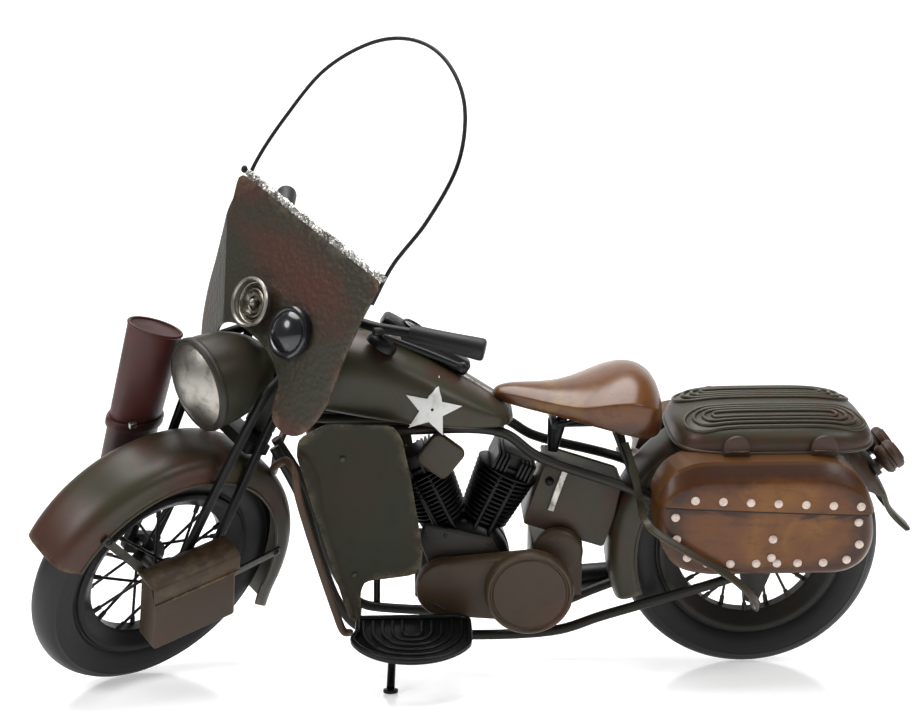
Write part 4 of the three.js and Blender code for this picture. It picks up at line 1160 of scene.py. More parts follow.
def build_tank():
    """Two tank halves, a star on each, the filler cap, the dash and the seam strip."""
    olive = MATERIALS["olive"]
    for side, name in SIDES.items():
        half = on_side(side, tank_half_shape())
        add_piece(f"tank_shell_{name}", half, BIKE, olive, "frame", f"fuel_tank_{name}", "olive_paint",
                  smooth=50)
        plate = sheet(star_outline(-134.5, 68.6, 12.1), lambda x, z: (x, -tank_side_y(x, z) - 0.95, z),
                      spacing=1.6)
        add_piece(f"star_plate_{name}", on_side(side, plate), BIKE, MATERIALS["star"], "frame",
                  f"tank_star_{name}", "pale_paint", smooth=60, thickness=0.5)
        dot = (-134.5, side * (tank_side_y(-134.5, 68.8) + 0.8), 68.8)
        finish_piece(heads(f"star_centre_rivet_{name}", [dot], (0, side, 0), 0.7, 0.35, BIKE,
                           MATERIALS["black"]), "frame")
    slope = -math.degrees(math.atan2(90.5 - 67.5, 147 - 110))
    cap_spot = (-153.5, -15.5, 95.6)

    def on_top(shape, x, y, z):
        return shifted(turned_about(shape, "Y", -slope), x, y, z)

    cap = [(0, 5.6), (3.0, 5.5), (4.9, 4.9), (5.8, 4.0), (5.9, 3.1), (5.2, 2.5), (0, 2.5)]
    skirt = [(0, 2.7), (4.7, 2.7), (4.9, 1.6), (5.6, 0.6), (6.4, -0.6), (6.4, -2.6), (0, -2.6)]
    add_piece("filler_cap_dome", on_top(lathe_upright(cap), *cap_spot), BIKE, MATERIALS["lens"], "frame",
              "filler_cap", "bare_steel")
    add_piece("filler_cap_skirt", on_top(lathe_upright(skirt), *cap_spot), BIKE, MATERIALS["black"], "frame",
              slot="black_paint")
    finish_piece(refined("dash_console", "dash_panel", MATERIALS["black"], 0.7), "frame")
    dial = [(0, 8.0), (3.6, 7.9), (4.4, 7.4), (4.8, 8.3), (5.3, 8.0), (5.4, 6.0), (0, 6.0)]
    add_piece("dash_dial", on_top(lathe_upright(dial), -145, 0, 90.2), BIKE, MATERIALS["gloss_black"],
              "frame", slot="black_paint")
    rail = [(x, 0, tank_station(x)[0] + 0.1) for x in range(-176, -101, 3)]
    finish_piece(piping("tank_seam_strip", [rail], 0.8, BIKE, MATERIALS["steel"]), "frame")


# ------------------------------------------------------------------ engine


CRANK = (-121, 0, -4)


def build_engine():
    """Crankcase, two finned cylinders, covers, gearbox and exhaust."""
    black, dark, brown = MATERIALS["black"], MATERIALS["olive_dark"], MATERIALS["olive_brown"]
    case = [(0, -12.9), (9, -12.8), (14.6, -12.4), (17.6, -10.6), (19, -8), (19, -1), (19.5, -0.7),
            (19.5, 0.7), (19, 1), (19, 8), (17.6, 10.6), (14.6, 12.4), (9, 12.8), (0, 12.9)]
    add_piece("crankcase_shell", shifted(lathe(case, 72), *CRANK), BIKE, black, "frame", "crankcase",
              "black_paint")
    fins = sizes().fin_count
    base, top = 19.8, 43.4
    fin_profile = [(7, -0.45), (12.8, -0.45), (13.2, -0.2), (13.2, 0.2), (12.8, 0.45), (7, 0.45)]
    fin = shifted(lathe_upright(fin_profile, 40, closed=True), 0, 0, base + 0.6)
    plate = prism(rounded([(-11.4, 43.6), (11.4, 43.6), (11.4, 51.4), (-11.4, 51.4)], 1.2, 3), -0.45, 0.45,
                  "facing")
    for label, tilt in (("rear", 25), ("front", -25)):
        where = BIKE @ Matrix.Translation(CRANK) @ Matrix.Rotation(math.radians(tilt), 4, "Y")
        core = merged(lathe_upright([(0, 18), (8.4, 18), (8.4, top), (0, top)], 40),
                      block(-7.4, 7.4, -9, 9, 43.2, 46), block(-5.6, 5.6, -7.6, 7.6, 45.5, 52))
        add_piece(f"{label}_barrel_and_head", core, where, black, "frame", f"{label}_cylinder",
                  "black_paint", bevel=0.4)
        stack = {"Count": fins, "Step": (0, 0, (top - base - 1) / (fins - 1)), "First size": 0.8,
                 "Last size": 1.0}
        finish_piece(grown(f"{label}_barrel_fins", (fin[0], [], fin[1]), TREES["stack"], stack, where, black),
                     "frame")
        for group, start in (("fore", -8), ("aft", 2.8)):
            plates = shifted(plate, start, 0, 0)
            row = {"Count": 4, "Step": (1.75, 0, 0), "First size": 1.0, "Last size": 1.0}
            finish_piece(grown(f"{label}_head_fins_{group}", (plates[0], [], plates[1]), TREES["stack"], row,
                               where, black), "frame")
        for side, name in SIDES.items():
            rod = [[(-3.2, side * 10.4, 14), (-3.2, side * 10.8, 42)],
                   [(3.2, side * 10.4, 14), (3.2, side * 10.8, 42)]]
            finish_piece(piping(f"{label}_push_rods_{name}", rod, 1.0, where, black), "frame")
    cleaner = rounded([(-7.8, -7.8), (7.8, -7.8), (7.8, 7.8), (-7.8, 7.8)], 3.4, 6)
    rings = [[(a * share, y, b * share) for a, b in cleaner]
             for y, share in ((-13.9, 1), (-15.9, 1), (-16.7, 0.93), (-16.9, 0.84), (-16.75, 0.5))]
    plate = shifted(turned_about(skin(rings), "Y", 38), -131, 0, 46.5)
    add_piece("air_cleaner_plate", plate, BIKE, MATERIALS["olive"], "frame", "air_cleaner_cover",
              "olive_paint", smooth=35)
    finish_piece(refined("timing_chest", "timing_cover", dark, 0.5), "frame")
    corners = [(-137, -15.9, 12), (-129, -15.9, 11.6), (-111, -15.9, 7.6), (-110.5, -15.9, -5.5),
               (-133, -15.9, -5.5)]
    finish_piece(heads("timing_chest_screws", corners, (0, -1, 0), 0.9, 0.4, BIKE, dark), "frame")
    primary_shape = rounded([*arc(-129, -9.5, 12.5, 80, 280, 10), *arc(-95, -9.5, 15.5, -80, 80, 10)], 1, 2)
    rings = [[(a, y, b) for a, b in inset(primary_shape, reach)]
             for y, reach in ((-17.2, 0), (-22.4, 0), (-23.7, 0.7), (-24.2, 1.9))]
    add_piece("primary_case", skin(rings), BIKE, brown, "frame", "primary_cover", "olive_paint", smooth=35)
    slit = [[(-134, -24.2, -15.2), (-129.5, -24.2, -17.8)]]
    finish_piece(piping("primary_case_slit", slit, 0.7, BIKE, MATERIALS["black"]), "frame")
    disc = [(0, -28.9), (12, -28.9), (14.8, -28.7), (15.4, -28.2), (15.9, -28.2), (16.4, -28.8),
            (17.2, -28.7), (18, -27.8), (18.3, -26.4), (18.3, -24.4), (0, -24.4)]
    add_piece("clutch_disc", shifted(lathe(disc, 96), -95, 0, -9.5), BIKE, brown, "frame", "clutch_cover",
              "olive_paint", smooth=35)
    finish_piece(refined("gearbox_case", "gearbox", brown, 0.5), "frame")
    gear_disc = [(0, -4.1), (7, -4.1), (9, -3.8), (10.2, -2.8), (10.6, -1.4), (10.6, 0.2), (0, 0.2)]
    add_piece("gearbox_disc", shifted(lathe(gear_disc, 64), -82.4, -12.4, 2.5), BIKE, brown, "frame",
              slot="dark_olive_paint")
    pipe = smooth_path([(-134, 14.6, 32), (-140, 18, 14), (-142, 20.5, -10), (-132, 21.5, -25),
                        (-112, 22, -28), (-96, 22, -28)], 8)
    finish_piece(piping("exhaust_downpipe", [pipe], 2.6, BIKE, black, 16), "frame", "exhaust_pipe")
    silencer = [(0, 0), (3, 0.2), (5.2, 4), (5.6, 12), (5.6, 58), (5.0, 66), (3.4, 68.5), (3.2, 70),
                (2.4, 70), (2.4, 62), (0, 62)]
    aim = Vector((67, 1.5, 4)).to_track_quat("Z", "Y").to_matrix().to_4x4()
    body = moved(lathe_upright(silencer, 40), Matrix.Translation((-97, 22, -28)) @ aim)
    add_piece("exhaust_silencer", body, BIKE, black, "frame", slot="black_paint", smooth=35)


# ------------------------------------------------------------------ battery box and saddle


SADDLE_STATIONS = [
    # x, half width, middle, edge, underside
    (-108.8, 2.4, 69.4, 68.6, 67.0), (-107.2, 4.6, 71.0, 69.4, 65.6), (-102, 7.0, 72.0, 69.6, 64.4),
    (-95, 9.6, 71.8, 68.8, 63.0), (-88, 12.6, 71.4, 68.0, 62.0), (-81, 16.4, 71.6, 67.6, 61.2),
    (-75, 20.2, 72.6, 68.0, 60.4), (-69, 23.4, 74.4, 69.4, 59.4), (-62, 25.8, 77.2, 71.2, 58.0),
    (-56, 26.8, 79.0, 71.8, 56.4), (-50, 26.2, 79.0, 70.8, 55.0), (-45, 23.4, 76.6, 68.4, 54.4),
    (-41.8, 18.0, 72.4, 65.6, 55.0), (-40.0, 10.0, 66.4, 62.4, 58.0),
]


def saddle_shape():
    """The saddle's closed skin: a crowned pan with a rolled edge, drawn section by section."""
    rings = []
    steps = 16
    for x, half, middle, edge, under in SADDLE_STATIONS:
        over = [(x, half * math.sin(math.pi * (i / steps - 0.5)),
                 middle + (edge - middle) * abs(math.sin(math.pi * (i / steps - 0.5))) ** 2.4)
                for i in range(steps + 1)]
        rolled = [(x, half * 1.02, edge - (edge - under) * 0.35), (x, half * 0.97, under + 0.6)]
        below = [(x, half * 0.8, under + 0.4), (x, half * 0.4, under + 2), (x, -half * 0.4, under + 2),
                 (x, -half * 0.8, under + 0.4)]
        rolled_left = [(x, -half * 0.97, under + 0.6), (x, -half * 1.02, edge - (edge - under) * 0.35)]
        rings.append(over + rolled + below + rolled_left)
    return skin(rings)


def saddle_rim(x, y, z):
    """The saddle's rolled edge and its low nose are darker than its crown."""
    return 0.85 - (z - 58) / 14 + 0.3 * max(0.0, (-88 - x) / 12)


def build_seat():
    """Saddle, its pillar and struts, and the battery box with its lid and clamp."""
    black = MATERIALS["black"]
    pan = make_piece("pan_saddle", saddle_shape(), BIKE, MATERIALS["saddle"], smooth=70, rounding=2)
    finish_piece(mark_rim(pan, BIKE, saddle_rim), "frame", "saddle")
    finish_piece(refined("saddle_pillar", "saddle_post", black, 0.3), "frame")
    struts = []
    for side in SIDES:
        struts.append([(-84, side * 8, 56.4), (-74, side * 13, 60.5)])
        struts.append([(-84, side * 8, 56.4), (-62, side * 17, 60)])
        struts.append([(-52, side * 18, 34), (-62, side * 18, 60)])
    finish_piece(piping("saddle_struts", struts, 0.9, BIKE, black), "frame")
    tilt = BIKE @ Matrix.Translation((-77.5, 0, 23.5)) @ Matrix.Rotation(math.radians(18.5), 4, "Y")
    case = prism(rounded([(-15, 12), (18.5, 12), (20.5, -2), (20.5, -15.5), (-15, -15.5)], 1.2, 2), -9.5, 9.5)
    add_piece("battery_case", case, tilt, MATERIALS["olive"], "frame", "battery_box", "olive_paint",
              bevel=0.5)
    lid = prism(rounded([(-15.6, -10.2), (18.8, -10.2), (18.8, 10.2), (-15.6, 10.2)], 1, 2), 12, 13.6,
                "level")
    add_piece("battery_lid", lid, tilt, MATERIALS["lid"], "frame", slot="olive_paint", bevel=0.4)
    rim = [(x, y, 13.8) for x, y in rounded([(-14.4, -9), (17.6, -9), (17.6, 9), (-14.4, 9)], 2, 4)]
    finish_piece(piping("battery_lid_bead", [rim], 0.5, tilt, MATERIALS["lid"], closed=True), "frame")
    clamp = [(-6.5, -10.9, 13), (-6.5, -10.9, 2), (-6.2, -10.2, -6)]
    strap = sweep(smooth_path(clamp, 5), bar_section(2.6, 0.9, 0.3), face_normal=(0, 1, 0))
    add_piece("battery_clamp", strap, tilt, MATERIALS["steel"], "frame", slot="bare_steel")
    finish_piece(heads("battery_knob", [(-11, -10.6, 6)], (0, -1, 0), 1.8, 1.6, tilt, black), "frame")


# ------------------------------------------------------------------ luggage


def pad_height(x, y):
    """Height of the luggage pad's skin."""
    across = abs((x - PAD_CENTRE_X) / PAD_HALF_LENGTH) ** 4 + abs(y / PAD_HALF_WIDTH) ** 4
    return PAD_BOTTOM + (PAD_TOP - PAD_BOTTOM) * max(0.0, 1 - across) ** 0.35


def pad_shape():
    """The luggage pad, open below."""
    steps = 96
    shares = (1, 0.9985, 0.993, 0.983, 0.968, 0.945, 0.91, 0.865, 0.8, 0.7, 0.55, 0.35, 0.15, 0)
    rings = []
    for share in shares:
        ring = []
        for i in range(steps):
            angle = 2 * math.pi * i / steps
            x = PAD_CENTRE_X + share * PAD_HALF_LENGTH * math.copysign(abs(math.cos(angle)) ** 0.5,
                                                                       math.cos(angle))
            y = share * PAD_HALF_WIDTH * math.copysign(abs(math.sin(angle)) ** 0.5, math.sin(angle))
            ring.append((x, y, pad_height(x, y)))
        rings.append(ring)
    return skin(rings, caps=False)


def racetrack(centre_x, centre_y, half_length, half_width):
    """A long loop with round ends, on the pad's skin."""
    steps = 10
    ends = arc(centre_x + half_length, centre_y, half_width, -90, 90, steps)
    ends += arc(centre_x - half_length, centre_y, half_width, 90, 270, steps)
    loop = []
    for (ax, ay), (bx, by) in zip(ends, [*ends[1:], ends[0]]):
        pieces = max(1, round(math.dist((ax, ay), (bx, by)) / 2.5))
        loop += [(ax + (bx - ax) * k / pieces, ay + (by - ay) * k / pieces) for k in range(pieces)]
    return [(x, y, pad_height(x, y) + 0.15) for x, y in loop]


def build_luggage_pad():
    """The pad with its nested ribs, its tabs and its edge wire."""
    olive = MATERIALS["olive"]
    shell = make_piece("luggage_pad_shell", pad_shape(), BIKE, olive, smooth=50, thickness=1.0)
    finish_piece(mark_rim(shell, BIKE, lambda x, y, z: 0.9 - (z - PAD_BOTTOM) / 14), "frame", "luggage_pad")
    for side, name in SIDES.items():
        loops = [racetrack(PAD_CENTRE_X, side * 14.2, 21.5 + 0.6 * half_width, half_width)
                 for half_width in (9.6, 7.2, 4.8, 2.4)]
        finish_piece(piping(f"luggage_pad_ribs_{name}", loops, sizes().rib_radius, BIKE, olive, closed=True),
                     "frame")
        for label, x in (("fore", -13.4), ("aft", 22)):
            d_shape = [(x - 5.4, 50.6), *reversed(arc(x, 53.8, 5.4, 0, 180, 14)), (x + 5.4, 50.6)]
            tab = on_side(side, prism(rounded(d_shape, 0.6, 2), -31.4, -29.4))
            add_piece(f"pad_tab_{label}_{name}", tab, BIKE, MATERIALS["lamp"], "frame", slot="olive_paint",
                      bevel=0.35)
            slit = [[(x - 4.6, side * 31.5, 53), (x + 4.6, side * 31.5, 53)]]
            finish_piece(piping(f"pad_tab_fold_{label}_{name}", slit, 0.4, BIKE, MATERIALS["lamp"]), "frame")
    rim = [(PAD_CENTRE_X + PAD_HALF_LENGTH * math.copysign(abs(math.cos(a)) ** 0.5, math.cos(a)),
            PAD_HALF_WIDTH * math.copysign(abs(math.sin(a)) ** 0.5, math.sin(a)), PAD_BOTTOM + 0.6)
           for a in (2 * math.pi * i / 120 for i in range(120))]
    finish_piece(piping("luggage_pad_edge_wire", [rim], 0.8, BIKE, olive, closed=True), "frame")


BAG_OUTLINE = [(-31, 49.5), (24.5, 49.5), (35, 43), (41, 29), (42.5, 17), (39, 8), (31, 3), (19, 2.8),
               (-26, 2.8), (-38, 6), (-44.5, 17.6), (-46, 26.5), (-44.5, 36.4), (-40, 45),]


def bag_skin(grow):
    """The bag's closed skin, or the same a little larger."""
    edge = resampled(rounded(BAG_OUTLINE, 6, 5), 112)

    def ring(y, reach, top_reach):
        return [(a, y, b) for a, b in inset(edge, lambda p: reach
                                            + top_reach * max(0, min(1, (p[1] - 38) / 10)) - grow)]

    face = -BAG_OUTER_Y - grow
    rings = [ring(-BAG_INNER_Y, 1.5, 0), ring(-BAG_INNER_Y - 1, 0, 0), ring(-BAG_OUTER_Y + 4.6, 0, 0),
             ring(-BAG_OUTER_Y + 3.4, 0.4, 1.2), ring(face + 0.9, 2.2, 3.4), ring(face + 0.2, 3.4, 4.2),
             ring(face, 5, 4.4)]
    centre = (-1.5, 24)
    for share, bulge in ((0.8, 0.25), (0.5, 0.5), (0.2, 0.6)):
        rings.append([(centre[0] + (x - centre[0]) * share, face - bulge, centre[1] + (z - centre[1]) * share)
                      for x, _, z in rings[6]])
    return skin(rings)


def flap_line(x):
    """Height of the flap's lower edge."""
    return 34.2 - 0.052 * (x + 37)


def clipped(shape, point, normal):
    """The part of a shape on the side that the normal points to, closed again."""
    mesh = bpy.data.meshes.new("clipped")
    mesh.from_pydata([tuple(v) for v in shape[0]], [], shape[1])
    work = bmesh.new()
    work.from_mesh(mesh)
    bpy.data.meshes.remove(mesh)
    cut = bmesh.ops.bisect_plane(work, geom=[*work.verts, *work.edges, *work.faces], plane_co=point,
                                 plane_no=normal, clear_inner=True)
    edges = [item for item in cut["geom_cut"] if isinstance(item, bmesh.types.BMEdge)]
    bmesh.ops.holes_fill(work, edges=edges, sides=0)
    work.verts.index_update()
    result = [v.co.copy() for v in work.verts], [[v.index for v in face.verts] for face in work.faces]
    work.free()
    return result


def stud_points():
    """Studs along the flap, round the lower edge of the bag, and two in the middle."""
    face = -BAG_OUTER_Y - 0.3
    points = [(-31.5 + 11.0 * i, face - 1.4, flap_line(-31.5 + 11.0 * i) + 3.4) for i in range(7)]
    edge = [p for p in inset(resampled(rounded(BAG_OUTLINE, 6, 5), 112), 6.6) if p[1] < flap_line(p[0]) - 3.5]
    edge.sort(key=lambda p: math.atan2(p[0] + 1.5, 24 - p[1]))
    lengths = [0.0]
    for a, b in zip(edge, edge[1:]):
        lengths.append(lengths[-1] + math.dist(a, b))
    count = 12
    for i in range(count):
        wanted = lengths[-1] * i / (count - 1)
        nearest = min(range(len(edge)), key=lambda k: abs(lengths[k] - wanted))
        points.append((edge[nearest][0], face, edge[nearest][1]))
    points += [(0.4, face - 0.4, 20), (0.2, face - 0.4, 12)]
    return points


def bag_rim(x, y, z):
    """0 in the middle of a bag's face and 1 at its outline, with a painted shadow line just under the flap.
    """
    across, up = abs(x + 1.7) / 44, abs(z - 26) / 23.5
    outline = (across ** 3 + up ** 3) ** (1 / 3)
    painted_flap_shadow = 1 - abs(z - flap_line(x) + 1.5) / 2.5
    return max((outline - 0.55) / 0.45, painted_flap_shadow)


def build_saddlebags():
    """Each bag with its flap, the painted shadow line under it, studs and the flat strap round it."""
    leather = MATERIALS["bag"]
    for side, name in SIDES.items():
        body = make_piece(f"bag_body_{name}", on_side(side, bag_skin(0)), BIKE, leather, smooth=45)
        finish_piece(mark_rim(body, BIKE, bag_rim), "frame", f"saddlebag_{name}")
        flap = clipped(bag_skin(1.5), (0, 0, flap_line(0)), (0.052, 0, 1))
        flap = make_piece(f"bag_flap_{name}", on_side(side, flap), BIKE, leather, smooth=45)
        finish_piece(mark_rim(flap, BIKE, bag_rim), "frame")
        # A dark wire just below the flap's edge: a painted shadow of the flap.
        flap_shadow_line = [[(x, side * (BAG_OUTER_Y + 0.7), flap_line(x) - 0.5) for x in range(-43, 41, 3)]]
        finish_piece(piping(f"bag_flap_shadow_{name}", flap_shadow_line, 0.6, BIKE, MATERIALS["flap_shadow_line"]), "frame")
        points = [(x, -side * y, z) for x, y, z in stud_points()]
        radius = sizes().stud_radius
        finish_piece(heads(f"bag_studs_{name}", points, (0, side, 0), radius, radius * 0.6, BIKE,
                           MATERIALS["stud"]), "frame")
        path = smooth_path([(-56, -14.8, 51), (-52, -20, 38), (-50.5, -24, 30), (-50, -41, 27),
                            (-45.5, -44.4, 23.5), (-14, -44.4, 3), (-4, -40, -9), (-2, -30, -16),
                            (-2, -DROPOUT_Y - 2.2, -16.5)], 7)
        strap = sweep(path, bar_section(3.2, 1.4, 0.4), first_normal=(0, 1, 0))
        add_piece(f"bag_strap_{name}", on_side(side, strap), BIKE, MATERIALS["olive"], "frame",
                  f"bag_stay_{name}", "olive_paint")


# ------------------------------------------------------------------ leg shields, crash bar, footboards, stand


def shield_crease(z):
    """Where the leg shield's front strip folds out, at a height."""
    bends = [(-20, -166), (32, -179), (44, -179), (61, -187.4)]
    for (low, low_x), (high, high_x) in zip(bends, bends[1:]):
        if z <= high:
            return low_x + (high_x - low_x) * max(0.0, (z - low) / (high - low))
    return -187.4


def leg_shield_shape():
    """The left leg shield: a bowed sheet with its front strip folded."""
    outline = [(-187.4, 60), (-176, 66.5), (-150, 65.5), (-146.5, 60), (-143, 42), (-138.5, 12), (-139.5, 3),
               (-143, 1), (-162, -1), (-163.6, -5), (-164.4, -18.6), (-168.5, -19), (-183, 32), (-188.5, 52)]
    outline = resampled(rounded(outline, 2.5, 3), 110)
    creases = [((shield_crease(z0), z0), (shield_crease(z1), z1)) for z0,
               z1 in ((-17, 32), (32, 44), (44, 57))]

    def point(x, z):
        folded = max(0.0, shield_crease(z) - x)
        bow = 0.9 * (1 - ((x + 161) / 22) ** 2)
        return (x, -30.6 - max(-0.9, bow) + 0.42 * folded, z)

    return sheet(outline, point, creases, spacing=3)


def build_sides():
    """Leg shields, crash bar, footboards and side stand."""
    olive, black, brown = MATERIALS["olive"], MATERIALS["black"], MATERIALS["olive_brown"]
    for side, name in SIDES.items():
        panel = on_side(side, leg_shield_shape())
        add_piece(f"leg_guard_{name}", panel, BIKE, MATERIALS["shield"], "frame", f"leg_shield_{name}",
                  "olive_paint", smooth=28, thickness=0.9)
        bolts = [(-170, side * 31.9, 52), (-166, side * 31.9, 2)]
        finish_piece(heads(f"leg_guard_bolts_{name}", bolts, (0, side, 0), 1.2, 0.6, BIKE, olive), "frame")
        build_footboard(side, name)
    side_run = [(-168.4, -33, -23), (-170.8, -38.2, -19.5), (-174, -38.4, -10), (-187.5, -38.2, 40),
                (-188.5, -37, 48), (-192, -28, 50), (-198.6, -12, 41)]
    bar = smooth_path([*side_run, (-199.6, 0, 35), *[(x, -y, z) for x, y, z in reversed(side_run)]], 8)
    finish_piece(piping("crash_bar_tube", [bar], 1.6, BIKE, brown, 14), "frame", "crash_bar")
    finish_piece(refined("stand_leg", "side_stand", black, 0.3), "side_stand")


def build_footboard(side, name):
    """A D-shaped plate with a rolled rim and ribs pressed in nested arcs."""
    black = MATERIALS["black"]
    centre = (-143, -37)
    outline = [(-166, -24.5), (-166, -37), *arc(*centre, 26, 195, 335, 20), (-119, -37), (-119, -27),
               (-123, -24.5)]
    outline = rounded(outline, 2, 3)
    plate = on_side(side, prism(outline, -22, -20.9, "level"))
    add_piece(f"footboard_plate_{name}", plate, BIKE, black, "frame", f"footboard_{name}", "black_paint",
              bevel=0.25)
    flat = inset(resampled(outline, 90), 0.9)
    rim = [(x, -side * y, -20.4) for x, y in flat]
    finish_piece(piping(f"footboard_rim_{name}", [rim], 1.1, BIKE, black, closed=True), "frame")
    ribs = []
    for radius in (4, 8, 12, 16, 20):
        half = arc(*centre, radius, 180, 360, 18)
        ribs.append([(x, -side * y, -20.8) for x, y in
                     [(centre[0] - radius, centre[1] + 9), *half, (centre[0] + radius, centre[1] + 9)]])
    finish_piece(piping(f"footboard_ribs_{name}", ribs, 0.8, BIKE, black, 10), "frame")
    arm = [[(-140, side * 12.4, -29), (-140, side * 27, -21.8)],
           [(-158, side * 12, -32), (-158, side * 26, -22)]]
    finish_piece(piping(f"footboard_arms_{name}", arm, 1.5, BIKE, black), "frame")


# ------------------------------------------------------------------ fork


def fork_side_shape():
    """The left fork leg: two rods and the rocker between them."""
    rear = sweep(smooth_path([(-9.5, -LEG_Y, 3), (-10.3, -LEG_Y, 33), (-12, -LEG_Y, 75),
                              (-12.5, -LEG_Y, 108)], 8), bar_section(3.8, 2.6, 0.7), face_normal=(0, 1, 0))
    front = sweep(smooth_path([(-22.5, -LEG_Y, 2), (-24.5, -17.2, 36), (-27.3, -20.6, 88), (-26.5, -20.4, 95),
                               (-20, -18, 101.5), (-12.5, -LEG_Y, 106.5)], 8),
                  bar_section(3.8, 2.6, 0.7), face_normal=(0, 1, 0))
    link = prism(rounded([(-25, -2.6), (-22, -4.6), (-16, -5), (-7.5, -2.4), (-7.5, 4), (-11, 4.8),
                          (-25, 4.8)], 1.6), -LEG_Y - 1.5, -LEG_Y + 1.5)
    return merged(rear, front, link)


def build_fork():
    """Stem, legs, axle, tool box and scabbard."""
    black = MATERIALS["black"]
    finish_piece(refined("fork_stem_and_clamps", "steering_stem", black, 0.5), "fork")
    for side, name in SIDES.items():
        add_piece(f"fork_blades_{name}", on_side(side, fork_side_shape()), FORK, black, "fork",
                  f"fork_leg_{name}", "black_paint")
        nut = on_side(side, prism(arc(0, 0, 3.6, 0, 300, 5), -19.3, -18.1))
        add_piece(f"front_axle_nut_{name}", nut, FRONT, MATERIALS["steel"], "fork", slot="bare_steel",
                  bevel=0.2)
        ends = [(-9.8, side * (LEG_Y + 1.6), 1), (-22, side * (LEG_Y + 1.6), 1.5)]
        finish_piece(heads(f"fork_link_rivets_{name}", ends, (0, side, 0), 1.2, 0.6, FORK, black), "fork")
    finish_piece(refined("front_axle_rod", "front_axle", MATERIALS["steel"], 0.3), "fork")
    build_toolbox()
    build_scabbard()


def build_toolbox():
    """The tool box hung beside the front wheel."""
    brown = MATERIALS["olive_brown"]
    inner = -LEG_Y - 3.2
    outer = inner - 12.2
    body = [[(x, y, z) for x, y in rounded([(-19.5 + t, outer + t * 0.6), (18.5 - t, outer + t * 0.6),
                                            (18.5 - t, inner), (-19.5 + t, inner)], 1.2, 3)] for z,
            t in ((-11, 0.2), (-10.4, 0), (20.6, 0.7))]
    add_piece("toolbox_body", skin(body), FRONT, brown, "fork", "toolbox", "olive_paint", bevel=0.3)
    lid = [(inner, 20.7), (inner, 22.2), (inner - 4, 23.4), (outer + 1.2, 22.4), (outer - 0.5, 21),
           (outer - 0.8, 13.4), (outer - 0.1, 13.3), (outer + 0.2, 20.7)]
    add_piece("toolbox_lid", prism(lid, -20.3, 19.3, "facing"), FRONT, brown, "fork", slot="olive_paint",
              bevel=0.35)
    hem = [[(-20, outer - 0.9, 13.6), (19, outer - 0.9, 13.6)]]
    finish_piece(piping("toolbox_lid_hem", hem, 0.5, FRONT, brown), "fork")


def build_scabbard():
    """An oval holster tube with a slanting mouth and a raised band."""
    half = 42
    wall = 1.0
    profile = [(0, -half), (9.6, -half), (10.6, -half + 0.6), (11, -half + 1.6), (12.6, half + 2),
               (12.6 - wall, half + 2), (10.9 - wall, -half + 3), (0, -half + 3)]
    tube = clipped(lathe_upright(profile, 72), (0, 0, 36.5), (-0.257, 0, -0.966))
    band = lathe_upright([(11.5, -8.2), (12.6, -8.2), (12.9, -7.4), (12.9, -4.8), (12.6, -4), (11.5, -4)],
                         72, closed=True)
    place_tube = Matrix.Translation((7.5, 28.4, 61)) @ Matrix.Rotation(math.radians(12), 4, "Y") \
        @ Matrix.Diagonal((1, 0.62, 1, 1))
    add_piece("scabbard_tube", moved(tube, place_tube), FRONT, MATERIALS["scabbard"], "fork", "scabbard",
              "scabbard_brown", smooth=40)
    add_piece("scabbard_band", moved(band, place_tube), FRONT, MATERIALS["scabbard"], "fork",
              slot="scabbard_brown")
    mouth = []
    for i in range(72):
        angle = 2 * math.pi * i / 72
        x, y = 12.1 * math.cos(angle), 12.1 * math.sin(angle)
        mouth.append(place_tube @ Vector((x, y, 36.5 - 0.266 * x)))
    finish_piece(piping("scabbard_mouth_roll", [mouth], 0.7, FRONT, MATERIALS["scabbard"], closed=True),
                 "fork")
    clip = shifted(block(-1.6, 1.6, -1, 1, -1.2, 1.2), 0, 19.6, 60)
    add_piece("scabbard_clip", clip, FRONT, MATERIALS["steel"], "fork", slot="bare_steel", bevel=0.3)


def build_headlamp():
    """Bowl, rim and the domed disc that stands for the glass."""
    lamp_x, lamp_z, radius, depth = 18.5, 86, 18.6, 32
    back = [(radius * math.sqrt(1 - t ** 2.3), t * depth) for t in [i / 20 for i in range(21)]]
    shell = [(0, -0.6), (radius - 0.6, -0.6), *back]
    add_piece("headlamp_bowl", shifted(lathe_forward(shell, 96), lamp_x, 0, lamp_z), FRONT,
              MATERIALS["shield"], "fork", "headlamp_shell", "olive_paint", smooth=50)
    rim = [(16.8, -2.2), (17.7, -2.6), (18.7, -2.0), (19.1, -0.8), (19.0, 0.6), (18.4, 1.0), (16.8, -0.4)]
    add_piece("headlamp_rim", shifted(lathe_forward(rim, 96, closed=True), lamp_x, 0, lamp_z), FRONT,
              MATERIALS["olive_dark"], "fork", slot="olive_paint", smooth=60)
    glass = 17.4
    lens = [(glass * i / 16, -7.9 + 6.4 * (i / 16) ** 2.3) for i in range(17)] + [(glass, -0.9), (0, -0.9)]
    add_piece("headlamp_glass", shifted(lathe_forward(lens, 96), lamp_x, 0, lamp_z), FRONT,
              MATERIALS["lens"], "fork", "headlamp_lens", "lens_silver", smooth=50)


# ------------------------------------------------------------------ windshield


APRON_X, APRON_TOP, APRON_HALF = -24.4, 159.0, 46.0


def beyond(start, end, point):
    """How far a point is past a fold line, to the right of it when looking from start to end."""
    along = (Vector(end) - Vector(start)).normalized()
    away = Vector(point) - Vector(start)
    return max(0.0, away[0] * along[1] - away[1] * along[0])


